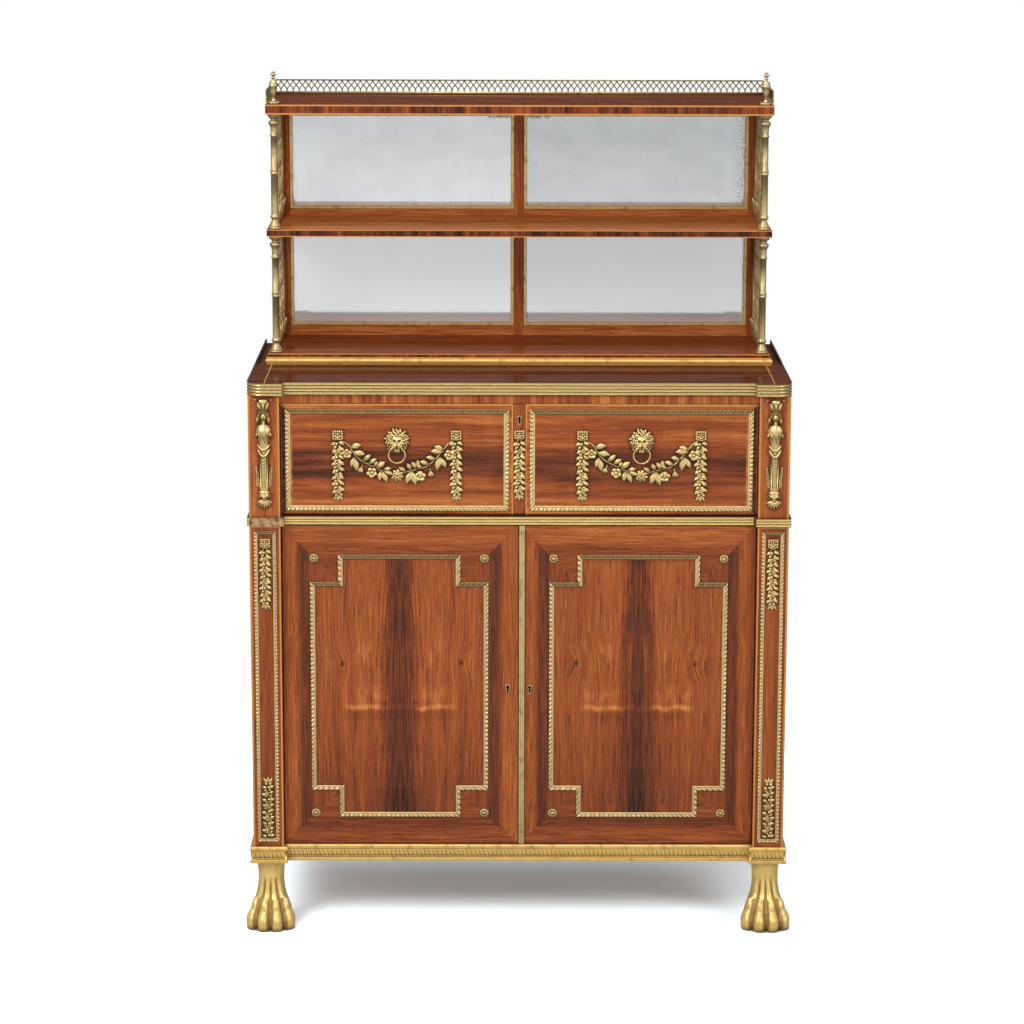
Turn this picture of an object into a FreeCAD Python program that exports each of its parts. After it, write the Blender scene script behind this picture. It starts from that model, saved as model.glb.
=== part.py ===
"""Secretaire cabinet: two-door cupboard, secretaire drawer with a fall front, mirrored shelf stand.

Frame: +Z up, front towards -Y, millimetres, origin on the floor in the middle of the plan.
"""
import FreeCAD, Part
import math
import os
import Sketcher
from types import SimpleNamespace

os.makedirs("parts", exist_ok=True)
doc = FreeCAD.newDocument("SecretaireCabinet")
Vector = FreeCAD.Vector

# Driving sizes in millimetres

SIZES = {
    # case
    "case_width": 900, "case_depth": 418, "side_thick": 18, "back_thick": 10,
    "pilaster_width": 52, "pilaster_thick": 30, "pilaster_break": 16,
    "foot_height": 115, "plinth_height": 28, "plinth_project": 6, "bottom_thick": 12, "rail_width": 24,
    "cupboard_height": 556.5, "mid_height": 14, "mid_project": 6, "bare_core_back": 1.5, "reed_bulge": 2,
    "plinth_top_fillet": 8, "plinth_low_fillet": 4, "plinth_hollow": 3, "plinth_slope": 2,
    "drawer_opening": 191, "frieze_height": 15.5, "frieze_thick": 20,
    "top_thick": 21, "top_front_overhang": 8.5, "top_side_overhang": 4.5, "top_brass": 5,
    "ear_width": 65, "ear_round": 22, "upstand_height": 7, "upstand_thick": 2.5,
    "shelf_thick": 16, "shelf_rise": 262, "shelf_setback": 40, "peg_size": 8,
    # feet
    "toe_project": 27, "paw_inset": 28, "ankle_half": 25, "paw_half": 37, "toe_half": 11.5, "toe_deep": 19,
    "paw_forward": 9, "rear_foot": 46, "rear_foot_inset": 4, "rear_foot_taper": 3,
    # shelf stand
    "stand_inset": 21, "stand_depth": 237, "stand_base_thick": 18.5,
    "bead_height": 10.5, "bead_project": 3.5, "bead_fillet": 1, "bead_lip": 1.5,
    "lower_tier": 200, "mid_shelf_thick": 12, "upper_tier": 194.5, "top_shelf_thick": 17,
    "column_inset": 13.5, "column_plinth": 19.5, "column_shaft": 4.9, "column_cap": 8.8,
    "plinth_block": 4, "finial_height": 55,
    "gallery_height": 25, "gallery_thick": 2, "gallery_inset": 1.4, "gallery_setback": 6, "gallery_pitch": 11.2, "gallery_bar": 1.5,
    "grille_thick": 2.5, "grille_border": 7, "grille_bar": 5, "grille_cell": 43,
    "mirror_frame_thick": 24, "mirror_frame_inset": 2, "mirror_stile": 24.5, "mirror_mid_stile": 16,
    "mirror_low_rail": 17.5, "mirror_high_rail": 11.5, "mirror_top_rail": 14,
    "mirror_bead": 6, "mirror_bead_deep": 4, "mirror_bead_setback": 1, "glass_thick": 4,
    # doors
    "door_thick": 22, "door_gap": 1.5, "door_side_gap": 1.3,
    "door_pivot_in": 8, "door_pivot_deep": 4, "pivot_radius": 2.4, "pivot_fit": 0.05,
    "pivot_plate_long": 46, "pivot_plate_wide": 12, "pivot_plate_thick": 2.5, "pivot_plate_margin": 1,
    "pin_end_gap": 0.3,
    "door_frame_side": 46, "door_frame_meeting": 51, "door_frame_top": 50, "door_frame_low": 46.5,
    "door_notch": 47, "door_frame_bar": 8.5, "door_frame_deep": 3, "frame_bevel": 1.2,
    "rosette_radius": 8, "rosette_deep": 4, "rosette_in": 7,
    "key_from_middle": 18.5, "key_rise": 271, "key_plate_wide": 8.4, "key_plate_high": 15.4,
    "key_plate_deep": 3, "key_plate_proud": 0.6, "key_plate_rim": 1.4,
    "lock_wide": 44, "lock_high": 70, "lock_deep": 11,
    "strip_width": 9.5, "strip_deep": 3, "strip_bulge": 1, "strip_reach": 0.5,
    # secretaire drawer
    "fall_thick": 18, "fall_gap": 1.2, "fall_top_gap": 1, "fall_side_gap": 1.3, "fall_round": 6,
    "fall_axis_deep": 9, "fall_axis_rise": 11.5, "fall_pin_radius": 2.5, "fall_pin_in": 12,
    "fall_plate_thick": 3, "fall_plate_long": 60, "fall_plate_half": 6.5, "fall_notch_high": 26,
    "fall_key_drop": 26.5, "knuckle_gap": 0.5,
    "stay_radius": 124, "stay_width": 10, "stay_thick": 3, "stay_drop": 10, "stay_in": 6, "stay_inset": 4,
    "stay_play": 2, "cheek_thick": 15, "drawer_back_gap": 10, "drawer_board": 12, "drawer_back_thick": 10,
    "slide_gap": 0.4, "joint_gap": 0.5, "head_gap": 3, "runner_height": 24,
    "leather_thick": 1, "leather_margin": 30,
    "pigeon_depth": 170, "pigeon_board": 6, "pigeon_head_gap": 2,
    "small_drawer_wide": 150, "small_drawer_setback": 1, "small_drawer_back_gap": 4, "small_board": 5,
    "knob_radius": 6,
    # mounts on the fall and pilasters
    "fall_frame_side": 6.5, "fall_frame_middle": 17, "fall_frame_low": 7.5, "fall_frame_top": 8,
    "fall_frame_bar": 9.5, "fall_frame_deep": 2.8,
    "lion_rise": 127, "lion_half": 20.5, "lion_deep": 15, "ring_radius": 13.8, "ring_wire": 1.2,
    "ring_reach": 9, "ring_lift": 0.3, "ring_play": 0.7,
    "swag_half": 98.5, "swag_rise": 136, "swag_sag": 66, "swag_thick": 6, "swag_end_gap": 8, "drop_half": 9,
    "swag_mask_radius": 10, "swag_mask_deep": 7, "rose_deep": 8.5, "drop_gap": 6,
    "side_drop_long": 112, "middle_drop_rise": 25, "middle_drop_long": 121,
    "pilaster_frame_wide": 37.5, "pilaster_frame_margin": 8, "pilaster_frame_bar": 6.5,
    "pilaster_frame_deep": 2.5, "pilaster_drop_long": 125, "pilaster_sprig_long": 107, "sprig_gap": 2,
    "herm_height": 190, "herm_half": 17.5, "herm_deep": 15, "herm_lift": 4,
    # how far a cutting tool reaches beyond the piece
    "overcut": 1,
}


class Size:
    """A length that keeps the spreadsheet formula it comes from."""

    def __init__(self, value, text):
        self.value = float(value)
        self.text = text

    def __add__(self, other):
        other = as_size(other)
        return Size(self.value + other.value, "(%s + %s)" % (self.text, other.text))

    def __sub__(self, other):
        other = as_size(other)
        return Size(self.value - other.value, "(%s - %s)" % (self.text, other.text))

    def __mul__(self, other):
        other = as_size(other)
        return Size(self.value * other.value, "(%s * %s)" % (self.text, other.text))

    def __truediv__(self, other):
        other = as_size(other)
        return Size(self.value / other.value, "(%s / %s)" % (self.text, other.text))

    def __radd__(self, other):
        return as_size(other) + self

    def __rsub__(self, other):
        return as_size(other) - self

    def __rmul__(self, other):
        return as_size(other) * self

    def __neg__(self):
        return Size(-self.value, "(0 - %s)" % self.text)


def as_size(number):
    return number if isinstance(number, Size) else Size(number, repr(float(number)))


def root(size):
    return Size(math.sqrt(size.value), "sqrt(%s)" % size.text)


def arc_sine(size):
    """The angle in degrees with this sine."""
    return Size(math.degrees(math.asin(size.value)), "asin(%s)" % size.text)


sheet = doc.addObject("Spreadsheet::Sheet", "Dims")
for row, (alias, number) in enumerate(SIZES.items(), 1):
    sheet.set("A%d" % row, alias)
    sheet.set("B%d" % row, str(number))
    sheet.setAlias("B%d" % row, alias)
doc.recompute()
s = SimpleNamespace(**{alias: Size(number, "Dims." + alias) for alias, number in SIZES.items()})

# Building blocks

nodes = {}


def bind(thing, name, size):
    thing.setExpression(name, as_size(size).text)


def place(thing, x=0, y=0, z=0):
    for axis, size in zip("xyz", (x, y, z)):
        bind(thing, "Placement.Base." + axis, size)


def node(label, thing):
    """Names a finished sub-part; several solids are held together as one."""
    if isinstance(thing, list):
        whole = doc.addObject("Part::Compound", label)
        whole.Links = thing
        thing = whole
    thing.Label = label
    nodes[label] = thing
    return thing


def board(x, y, z, label="Board"):
    """A board between two places on each axis."""
    box = doc.addObject("Part::Box", label)
    for name, (low, high) in zip(("Length", "Width", "Height"), (x, y, z)):
        bind(box, name, high - low)
    place(box, x[0], y[0], z[0])
    return box


def rod(x, y, z, radius):
    """A round bar across the cabinet, between two places on X."""
    bar = doc.addObject("Part::Cylinder", "Rod")
    bind(bar, "Radius", radius)
    bind(bar, "Height", x[1] - x[0])
    bar.Placement = FreeCAD.Placement(Vector(), FreeCAD.Rotation(Vector(0, 1, 0), 90))
    place(bar, x[0], y, z)
    return bar


def mirrored(thing, label="Mirrored"):
    copy = doc.addObject("Part::Mirroring", label)
    copy.Source = thing
    copy.Normal = Vector(1, 0, 0)
    return copy


def pair(thing):
    """A piece on the right with its mirror image on the left."""
    return [thing, mirrored(thing)]


def cut(base, tools, label="Cut"):
    for tool in tools:
        less = doc.addObject("Part::Cut", label)
        less.Base = base
        less.Tool = tool
        base = less
    return base


def fuse(things, label="Fused"):
    whole = doc.addObject("Part::MultiFuse", label)
    whole.Shapes = things
    return whole


def body(label, x=0, y=0, z=0):
    item = doc.addObject("PartDesign::Body", label)
    place(item, x, y, z)
    return item


def sketch(item, role, lift=0):
    """A sketch on one of a body's origin planes, lifted along the plane's normal."""
    drawing = item.newObject("Sketcher::SketchObject", "Sketch")
    plane = [feature for feature in item.Origin.OriginFeatures if feature.Role == role][0]
    drawing.AttachmentSupport = [(plane, "")]
    drawing.MapMode = "FlatFace"
    bind(drawing, "AttachmentOffset.Base.z", lift)
    return drawing


def tie(drawing, constraint, size):
    number = drawing.addConstraint(Sketcher.Constraint(*constraint, as_size(size).value))
    bind(drawing, "Constraints[%d]" % number, size)


def arc(start, stop, radius, turn):
    """An arc shorter than a half circle, turning left (1) or right (-1) on its way."""
    chord = stop - start
    middle = (start + stop) * 0.5
    rise = math.sqrt(max(radius ** 2 - chord.Length ** 2 / 4, 0))
    side = Vector(-chord.y, chord.x, 0).normalize()
    centre = middle + side * (rise * turn)
    first, last = (start, stop) if turn > 0 else (stop, start)
    begin = math.atan2(first.y - centre.y, first.x - centre.x)
    end = math.atan2(last.y - centre.y, last.x - centre.x)
    if end < begin:
        end += 2 * math.pi
    return Part.ArcOfCircle(Part.Circle(centre, Vector(0, 0, 1), radius), begin, end)


def draw(drawing, points, closed=True):
    """Lines through the points; a point with a radius and a turn starts an arc instead."""
    spots = [Vector(as_size(point[0]).value, as_size(point[1]).value, 0) for point in points]
    count = len(points) if closed else len(points) - 1
    pieces = []
    for index in range(count):
        start, stop = spots[index], spots[(index + 1) % len(points)]
        if len(points[index]) == 2:
            pieces.append((drawing.addGeometry(Part.LineSegment(start, stop)), 1, 2))
            continue
        radius, turn = points[index][2:]
        number = drawing.addGeometry(arc(start, stop, as_size(radius).value, turn))
        pieces.append((number, 1, 2) if turn > 0 else (number, 2, 1))
        tie(drawing, ("Radius", number), radius)
    for index, point in enumerate(points):
        number, here = pieces[index][:2] if index < count else (pieces[-1][0], pieces[-1][2])
        tie(drawing, ("DistanceX", -1, 1, number, here), point[0])
        tie(drawing, ("DistanceY", -1, 1, number, here), point[1])
        if closed or 0 < index < count:
            before = pieces[index - 1]
            drawing.addConstraint(Sketcher.Constraint("Coincident", before[0], before[2], number, here))


def circle(drawing, x, y, radius):
    spot = Vector(as_size(x).value, as_size(y).value, 0)
    number = drawing.addGeometry(Part.Circle(spot, Vector(0, 0, 1), as_size(radius).value))
    tie(drawing, ("DistanceX", -1, 1, number, 3), x)
    tie(drawing, ("DistanceY", -1, 1, number, 3), y)
    tie(drawing, ("Radius", number), radius)


def rectangle(x0, x1, y0, y1):
    return [(x0, y0), (x1, y0), (x1, y1), (x0, y1)]


def pad(item, drawing, length, reverse=False, middle=False):
    feature = item.newObject("PartDesign::Pad", "Pad")
    feature.Profile = drawing
    bind(feature, "Length", length)
    feature.Reversed = reverse
    feature.Midplane = middle
    return feature


def pocket(item, drawing, length, reverse=False):
    feature = item.newObject("PartDesign::Pocket", "Pocket")
    feature.Profile = drawing
    bind(feature, "Length", length)
    feature.Reversed = reverse
    return feature


def revolve(item, drawing, angle=360, middle=False, reverse=False):
    """Turns a profile about the drawing's own vertical axis."""
    feature = item.newObject("PartDesign::Revolution", "Revolution")
    feature.Profile = drawing
    feature.ReferenceAxis = (drawing, ["V_Axis"])
    bind(feature, "Angle", angle)
    feature.Midplane = middle
    feature.Reversed = reverse
    return feature


def bevel(item, feature, depth, size):
    """Bevels every edge of the front face of a mount that stands out by a depth."""
    doc.recompute()
    names = []
    for number, edge in enumerate(feature.Shape.Edges, 1):
        if all(abs(vertex.Point.y + as_size(depth).value) < 1e-6 for vertex in edge.Vertexes):
            names.append("Edge%d" % number)
    chamfer = item.newObject("PartDesign::Chamfer", "Bevel")
    chamfer.Base = (feature, names)
    bind(chamfer, "Size", size)


def plan_path(points, z):
    """An open path seen in plan."""
    path = doc.addObject("Sketcher::SketchObject", "Path")
    bind(path, "Placement.Base.z", z)
    draw(path, points, closed=False)
    return path


def upright_profile(points, y):
    """A closed profile on an upright plane across the cabinet."""
    profile = doc.addObject("Sketcher::SketchObject", "Profile")
    profile.Placement = FreeCAD.Placement(Vector(), FreeCAD.Rotation(Vector(1, 0, 0), 90))
    bind(profile, "Placement.Base.y", y)
    draw(profile, points)
    return profile


def sweep(profile, path, label="Moulding"):
    """A moulding with mitred corners along a path."""
    doc.recompute()
    moulding = doc.addObject("Part::Sweep", label)
    moulding.Sections = [profile]
    moulding.Spine = (path, ["Edge%d" % number for number in range(1, len(path.Shape.Edges) + 1)])
    moulding.Solid = True
    moulding.Transition = "Right corner"
    return moulding


def reeds(x, z, height, base, bulge, count, out=-1):
    """A band of round reeds that stands out from a vertical line at x, as a profile."""
    step = height / count
    radius = (step * step / 4 + bulge * bulge) / (2 * bulge)
    edge = x + base * out
    points = [(x, z + height), (x, z), (edge, z, radius, -out)]
    for index in range(1, count):
        points.append((edge, z + step * index, radius, -out))
    points.append((edge, z + height))
    return points


# Places that several pieces share

half = s.case_width / 2
opening = half - s.pilaster_width
inside = half - s.side_thick
depth = s.case_depth + s.pilaster_break + s.plinth_project + s.toe_project
y_back = depth / 2
y_face = y_back - s.case_depth
y_pilaster = y_face - s.pilaster_break
y_behind = y_pilaster + s.pilaster_thick
y_toe = -(depth / 2)
z_case = s.foot_height + s.plinth_height
z_dust = z_case + s.cupboard_height
z_drawer = z_dust + s.mid_height
z_frieze = z_drawer + s.drawer_opening
z_top = z_frieze + s.frieze_height
z_stand = z_top + s.top_thick
z_lower = z_stand + s.stand_base_thick
z_mid_shelf = z_lower + s.lower_tier
z_upper = z_mid_shelf + s.mid_shelf_thick
z_top_shelf = z_upper + s.upper_tier
z_gallery = z_top_shelf + s.top_shelf_thick
stand_half = half - s.stand_inset
y_stand = y_back - s.stand_depth
pilaster_middle = half - s.pilaster_width / 2

# Case boards

node("case_sides", pair(board((inside, half), (y_behind, y_back), (z_case, z_top))))
node("case_back", board((-inside, inside), (y_back - s.back_thick, y_back), (z_case, z_top)))
node("pilasters", pair(board((opening, half), (y_pilaster, y_behind), (z_case, z_top))))
node("frieze_rail", board((-opening, opening), (y_face, y_face + s.frieze_thick), (z_frieze, z_top)))

hinge_x = opening - s.door_side_gap - s.door_pivot_in
hinge_y = y_face + s.door_pivot_deep
plate_end = hinge_x + s.door_pivot_in - s.pivot_plate_margin
plate_x = (plate_end - s.pivot_plate_long, plate_end)
plate_y = (y_face + s.pivot_plate_margin, y_face + s.pivot_plate_margin + s.pivot_plate_wide)


def stepped_board(label, wide, back, z, thick, recess_lift, recess_up):
    """A level board that fits between the pilasters, with recesses for the door pivots."""
    item = body(label, z=z)
    outline = [(-wide, y_behind), (-opening, y_behind), (-opening, y_face), (opening, y_face),
               (opening, y_behind), (wide, y_behind), (wide, back), (-wide, back)]
    plan = sketch(item, "XY_Plane")
    draw(plan, outline)
    pad(item, plan, thick)
    recess = sketch(item, "XY_Plane", recess_lift)
    draw(recess, rectangle(*plate_x, *plate_y))
    draw(recess, rectangle(-plate_x[1], -plate_x[0], *plate_y))
    pocket(item, recess, s.pivot_plate_thick, reverse=recess_up)
    return node(label, item)


stepped_board("bottom_board", half, y_back, z_case - s.bottom_thick, s.bottom_thick, s.bottom_thick, False)
stepped_board("division_board", inside, y_back - s.back_thick, z_dust, s.mid_height, 0, True)

rail_z = (s.foot_height, z_case - s.bottom_thick)
plinth_boards = [
    board((-opening, opening), (y_face, y_face + s.rail_width), rail_z),
    board((-half, half), (y_back - s.rail_width, y_back), rail_z),
]
plinth_boards += pair(board((half - s.rail_width, half), (y_behind, y_back - s.rail_width), rail_z))
plinth_boards += pair(board((opening, half), (y_pilaster, y_behind), (s.foot_height, z_case)))
node("plinth_frame", plinth_boards)

shelf_z = z_case + s.shelf_rise
shelf_y = (y_face + s.door_thick + s.shelf_setback, y_back - s.back_thick)
node("cupboard_shelf", board((-inside, inside), shelf_y, (shelf_z, shelf_z + s.shelf_thick)))
node("shelf_bearers", pair(board((inside - s.peg_size, inside), shelf_y, (shelf_z - s.peg_size, shelf_z))))

# Top with round ears, and the three mouldings

brass_half = half + s.top_side_overhang - s.top_brass
brass_ear = half + s.top_side_overhang - s.ear_width + s.top_brass
brass_front = y_face - s.top_front_overhang + s.top_brass
brass_break = y_pilaster - s.top_front_overhang + s.top_brass
top_edge = [
    (-brass_half, y_back), (-brass_half, brass_break + s.ear_round, s.ear_round, 1),
    (-brass_half + s.ear_round, brass_break), (-brass_ear, brass_break), (-brass_ear, brass_front),
    (brass_ear, brass_front), (brass_ear, brass_break),
    (brass_half - s.ear_round, brass_break, s.ear_round, 1),
    (brass_half, brass_break + s.ear_round), (brass_half, y_back),
]
top_board = body("top_board", z=z_top)
top_plan = sketch(top_board, "XY_Plane")
draw(top_plan, top_edge)
pad(top_board, top_plan, s.top_thick)
node("top_board", top_board)

top_reeds = reeds(-brass_half, 0, s.top_thick, s.top_brass - s.reed_bulge, s.reed_bulge, 4)
top_band = sweep(upright_profile(top_reeds, y_back), plan_path(top_edge, 0))
place(top_band, z=z_top)
upstand = board((brass_half - s.upstand_thick, brass_half), (y_stand, y_back),
                (z_stand, z_stand + s.upstand_height))
node("top_edge_moulding", [top_band] + pair(upstand))

case_edge = [
    (-half, y_back), (-half, y_pilaster), (-opening, y_pilaster), (-opening, y_face),
    (opening, y_face), (opening, y_pilaster), (half, y_pilaster), (half, y_back),
]
plinth_out = -half - s.plinth_project
plinth_in = plinth_out + s.plinth_hollow
plinth_top = s.plinth_height - s.plinth_top_fillet
plinth_profile = [
    (-half, s.plinth_height), (-half, 0), (plinth_out, 0), (plinth_out, s.plinth_low_fillet),
    (plinth_in, s.plinth_low_fillet + s.plinth_slope), (plinth_in, plinth_top),
    (plinth_out, plinth_top + s.plinth_slope), (plinth_out, s.plinth_height - s.plinth_slope),
    (plinth_out + s.plinth_slope, s.plinth_height),
]
plinth_moulding = sweep(upright_profile(plinth_profile, y_back), plan_path(case_edge, 0))
place(plinth_moulding, z=s.foot_height)
node("plinth_moulding", plinth_moulding)


def mid_band(points, start_x, out):
    profile = reeds(start_x, 0, s.mid_height, s.mid_project - s.reed_bulge, s.reed_bulge, 3, out)
    band = sweep(upright_profile(profile, points[0][1]), plan_path(points, 0))
    place(band, z=z_dust)
    return band


right_wrap = mid_band([(half, y_back), (half, y_pilaster), (opening, y_pilaster), (opening, y_face)], half, 1)
left_run = mid_band([(-half, y_back), (-half, y_pilaster)], -half, -1)
front_band = body("FrontBand", z=z_dust)
front_section = sketch(front_band, "YZ_Plane")
draw(front_section, reeds(y_face, 0, s.mid_height, s.mid_project - s.reed_bulge, s.reed_bulge, 3))
pad(front_band, front_section, (opening - s.mid_project) * 2, middle=True)
node("mid_moulding", [front_band, right_wrap, left_run])
node("bare_moulding_core", board((-half, -(opening - s.mid_project)),
                                 (y_pilaster - s.mid_project + s.bare_core_back, y_pilaster),
                                 (z_dust, z_drawer)))

# Feet

paw_x = half - s.paw_inset
paw_y = y_pilaster + s.ankle_half
paw_sections = [
    # height, forward shift, half width and half depth as shares of the foot
    (1.0, 0, 1.03, 0.97), (0.8, 0, 0.97, 0.92), (0.54, 0, 0.93, 0.90),
]
paw_low = [(0.33, 0.45, 0.76, 0.78), (0.14, 1, 1.0, 1.0), (0.0, 1, 0.95, 0.96)]


def paw():
    """A lion's paw: a waisted leg that spreads into four toes, flat underneath."""
    rings = []
    for sections, size in ((paw_sections, s.ankle_half), (paw_low, s.paw_half)):
        for level, forward, wide, deep in sections:
            ring = doc.addObject("Part::Ellipse", "PawRing")
            across = size * wide
            along = size * deep
            bind(ring, "MajorRadius", across if wide >= deep else along)
            bind(ring, "MinorRadius", along if wide >= deep else across)
            turn = 0 if wide >= deep else 90
            ring.Placement = FreeCAD.Placement(Vector(), FreeCAD.Rotation(Vector(0, 0, 1), turn))
            place(ring, paw_x, paw_y - s.paw_forward * forward, s.foot_height * level)
            rings.append(ring)
    leg = doc.addObject("Part::Loft", "PawLeg")
    leg.Sections = rings
    leg.Solid = True
    toes = []
    for share, back in ((-2.7, 1.55), (-0.95, 1.0), (0.95, 1.0), (2.7, 1.55)):
        toe = doc.addObject("Part::Ellipsoid", "Toe")
        bind(toe, "Radius1", s.toe_deep * 1.05)
        bind(toe, "Radius2", s.toe_half)
        bind(toe, "Radius3", s.toe_deep)
        place(toe, paw_x + s.toe_half * share, y_toe + s.toe_deep * back, s.toe_deep * 0.75)
        toes.append(toe)
    reach = s.paw_half * 2
    floor = board((paw_x - reach, paw_x + reach), (paw_y - reach, paw_y + reach), (-reach, as_size(0)))
    return cut(fuse([leg] + toes), [floor])


node("paw_feet", pair(paw()))

rear_foot = body("RearFoot", half - s.rear_foot_inset - s.rear_foot / 2,
                 y_back - s.rear_foot_inset - s.rear_foot / 2, s.foot_height)
rear_plan = sketch(rear_foot, "XY_Plane")
draw(rear_plan, rectangle(-s.rear_foot / 2, s.rear_foot / 2, -s.rear_foot / 2, s.rear_foot / 2))
rear_pad = pad(rear_foot, rear_plan, s.foot_height, reverse=True)
bind(rear_pad, "TaperAngle", -s.rear_foot_taper)
node("rear_feet", pair(rear_foot))

# Shelf stand with mirrors

stand_x = (-stand_half, stand_half)
node("stand_base", board(stand_x, (y_stand, y_back), (z_stand, z_lower)))
node("middle_shelf", board(stand_x, (y_stand, y_back), (z_mid_shelf, z_upper)))
node("top_shelf", board(stand_x, (y_stand, y_back), (z_top_shelf, z_gallery)))

bead_x = -stand_half - s.bead_project + s.bead_fillet
bead_profile = [
    (-stand_half, s.bead_height), (-stand_half, 0), (bead_x, 0),
    (bead_x, s.bead_lip, s.bead_height / 2, -1), (bead_x, s.bead_height - s.bead_lip),
    (bead_x, s.bead_height),
]
bead_edge = [(-stand_half, y_back), (-stand_half, y_stand), (stand_half, y_stand), (stand_half, y_back)]
base_bead = sweep(upright_profile(bead_profile, y_back), plan_path(bead_edge, 0))
place(base_bead, z=z_stand)
node("stand_bead", base_bead)

mirror_front = y_back - s.mirror_frame_inset - s.mirror_frame_thick
mirror_y = (mirror_front, y_back - s.mirror_frame_inset)
mirror_out = stand_half - s.mirror_frame_inset
mirror_in = mirror_out - s.mirror_stile
mid_half = s.mirror_mid_stile / 2
frame_boards = []
glass_plates = []
bead_frames = []
tiers = ((z_lower, z_mid_shelf, s.mirror_low_rail), (z_upper, z_top_shelf, s.mirror_high_rail))
for low, high, low_rail in tiers:
    glass_low = low + low_rail
    glass_high = high - s.mirror_top_rail
    frame_boards += pair(board((mirror_in, mirror_out), mirror_y, (low, high)))
    frame_boards.append(board((-mid_half, mid_half), mirror_y, (glass_low, glass_high)))
    frame_boards.append(board((-mirror_in, mirror_in), mirror_y, (low, glass_low)))
    frame_boards.append(board((-mirror_in, mirror_in), mirror_y, (glass_high, high)))
    glass_front = mirror_front + s.mirror_bead_setback + s.mirror_bead_deep
    glass_back = glass_front + s.glass_thick
    opening_x = (mid_half, mirror_in)
    glass_plates += pair(board(opening_x, (glass_front, glass_back), (glass_low, glass_high)))
    frame_boards += pair(board(opening_x, (glass_back, mirror_y[1]), (glass_low, glass_high)))
    bead = body("MirrorBead", y=glass_front)
    bead_lines = sketch(bead, "XZ_Plane")
    draw(bead_lines, rectangle(mid_half, mirror_in, glass_low, glass_high))
    draw(bead_lines, rectangle(mid_half + s.mirror_bead, mirror_in - s.mirror_bead,
                               glass_low + s.mirror_bead, glass_high - s.mirror_bead))
    bevel(bead, pad(bead, bead_lines, s.mirror_bead_deep), s.mirror_bead_deep, s.frame_bevel)
    bead_frames += pair(bead)
node("mirror_frame", frame_boards)
node("mirror_plates", glass_plates)
node("mirror_beads", bead_frames)

column_x = stand_half - s.column_inset
column_y = y_stand + s.column_inset


def square_block(item, half_size, low, high):
    block = sketch(item, "XY_Plane", low)
    draw(block, rectangle(-half_size, half_size, -half_size, half_size))
    pad(item, block, high - low)


def colonette(z, height):
    """A turned brass column between a square plinth and a square abacus."""
    item = body("Colonette", column_x, column_y, z)
    shaft = s.column_shaft
    cap = s.column_cap
    start = s.plinth_block
    end = height - s.plinth_block
    middle = height / 2
    neck = shaft * 0.92
    roll = shaft * 1.48
    band = shaft * 1.18
    roll_round = shaft * 0.45
    profile = [
        (0, start), (cap, start, shaft * 0.41, 1), (cap, start + shaft * 0.61),
        (cap * 0.86, start + shaft * 0.71, shaft * 2.25, -1), (shaft, start + shaft * 2.45),
        (shaft, start + shaft * 3.06), (roll, start + shaft * 3.27, roll_round, 1),
        (roll, start + shaft * 3.88), (shaft, start + shaft * 4.08),
        (shaft, middle - shaft * 0.61), (band, middle - shaft * 0.41),
        (band, middle + shaft * 0.41), (shaft, middle + shaft * 0.61),
        (neck, end - shaft * 7.35), (band, end - shaft * 7.14), (band, end - shaft * 6.53),
        (neck, end - shaft * 6.33), (neck, end - shaft * 3.88),
        (roll, end - shaft * 3.47, roll_round, 1), (roll, end - shaft * 2.86),
        (shaft, end - shaft * 2.45, shaft * 2.86, -1), (cap, end - shaft * 0.61), (cap, end), (0, end),
    ]
    turned = sketch(item, "XZ_Plane")
    draw(turned, profile)
    revolve(item, turned)
    square_block(item, s.column_plinth / 2, as_size(0), start)
    square_block(item, s.column_plinth / 2, end, height)
    return item


node("colonettes", pair(colonette(z_lower, s.lower_tier)) + pair(colonette(z_upper, s.upper_tier)))

finial = body("Finial", column_x, column_y, z_gallery)
rise = s.finial_height
lip = s.column_cap
urn = sketch(finial, "XZ_Plane")
draw(urn, [
    (0, s.plinth_block), (lip * 0.68, s.plinth_block), (lip * 0.68, rise * 0.13), (lip * 0.3, rise * 0.2),
    (lip * 0.3, rise * 0.28), (lip * 0.57, rise * 0.3), (lip * 0.82, rise * 0.46, lip * 1.36, 1),
    (lip, rise * 0.6), (lip, rise * 0.65), (lip * 0.45, rise * 0.68), (lip * 0.45, rise * 0.72),
    (lip * 0.68, rise * 0.76, lip * 0.91, 1), (lip * 0.52, rise * 0.91, lip * 0.91, 1),
    (lip * 0.14, rise), (0, rise),
])
revolve(finial, urn)
square_block(finial, s.column_plinth / 2, as_size(0), s.plinth_block)
node("finials", pair(finial))


# Pierced brass work

def pierced(holes, long, high, thick):
    """A flat plate with holes, standing along X from the origin."""
    outline = [Vector(0, 0, 0), Vector(long, 0, 0), Vector(long, 0, high), Vector(0, 0, high)]
    wires = [Part.makePolygon(outline + outline[:1])] + holes
    return Part.Face(wires, "Part::FaceMakerBullseye").extrude(Vector(0, thick, 0))


def gallery_plate(long):
    """Interlaced pointed arches between two rails: pointed windows above, kites between their feet."""
    rail = s.gallery_bar.value
    high = s.gallery_height.value
    count = max(int(round(long / s.gallery_pitch.value)), 1)
    step = (long - rail) / count
    low, top = rail, high - rail
    spring = low + (top - low) * 0.45
    gap = (step - rail) / 2
    holes = []
    for index in range(count):
        middle = rail / 2 + step * (index + 0.5)
        left, right = middle - gap, middle + gap
        points = [(left, low), (right, low), (right, spring), (middle, top), (left, spring)]
        spots = [Vector(x, 0, z) for x, z in points]
        holes.append(Part.makePolygon(spots + spots[:1]))
    return pierced(holes, long, high, s.gallery_thick.value)


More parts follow.
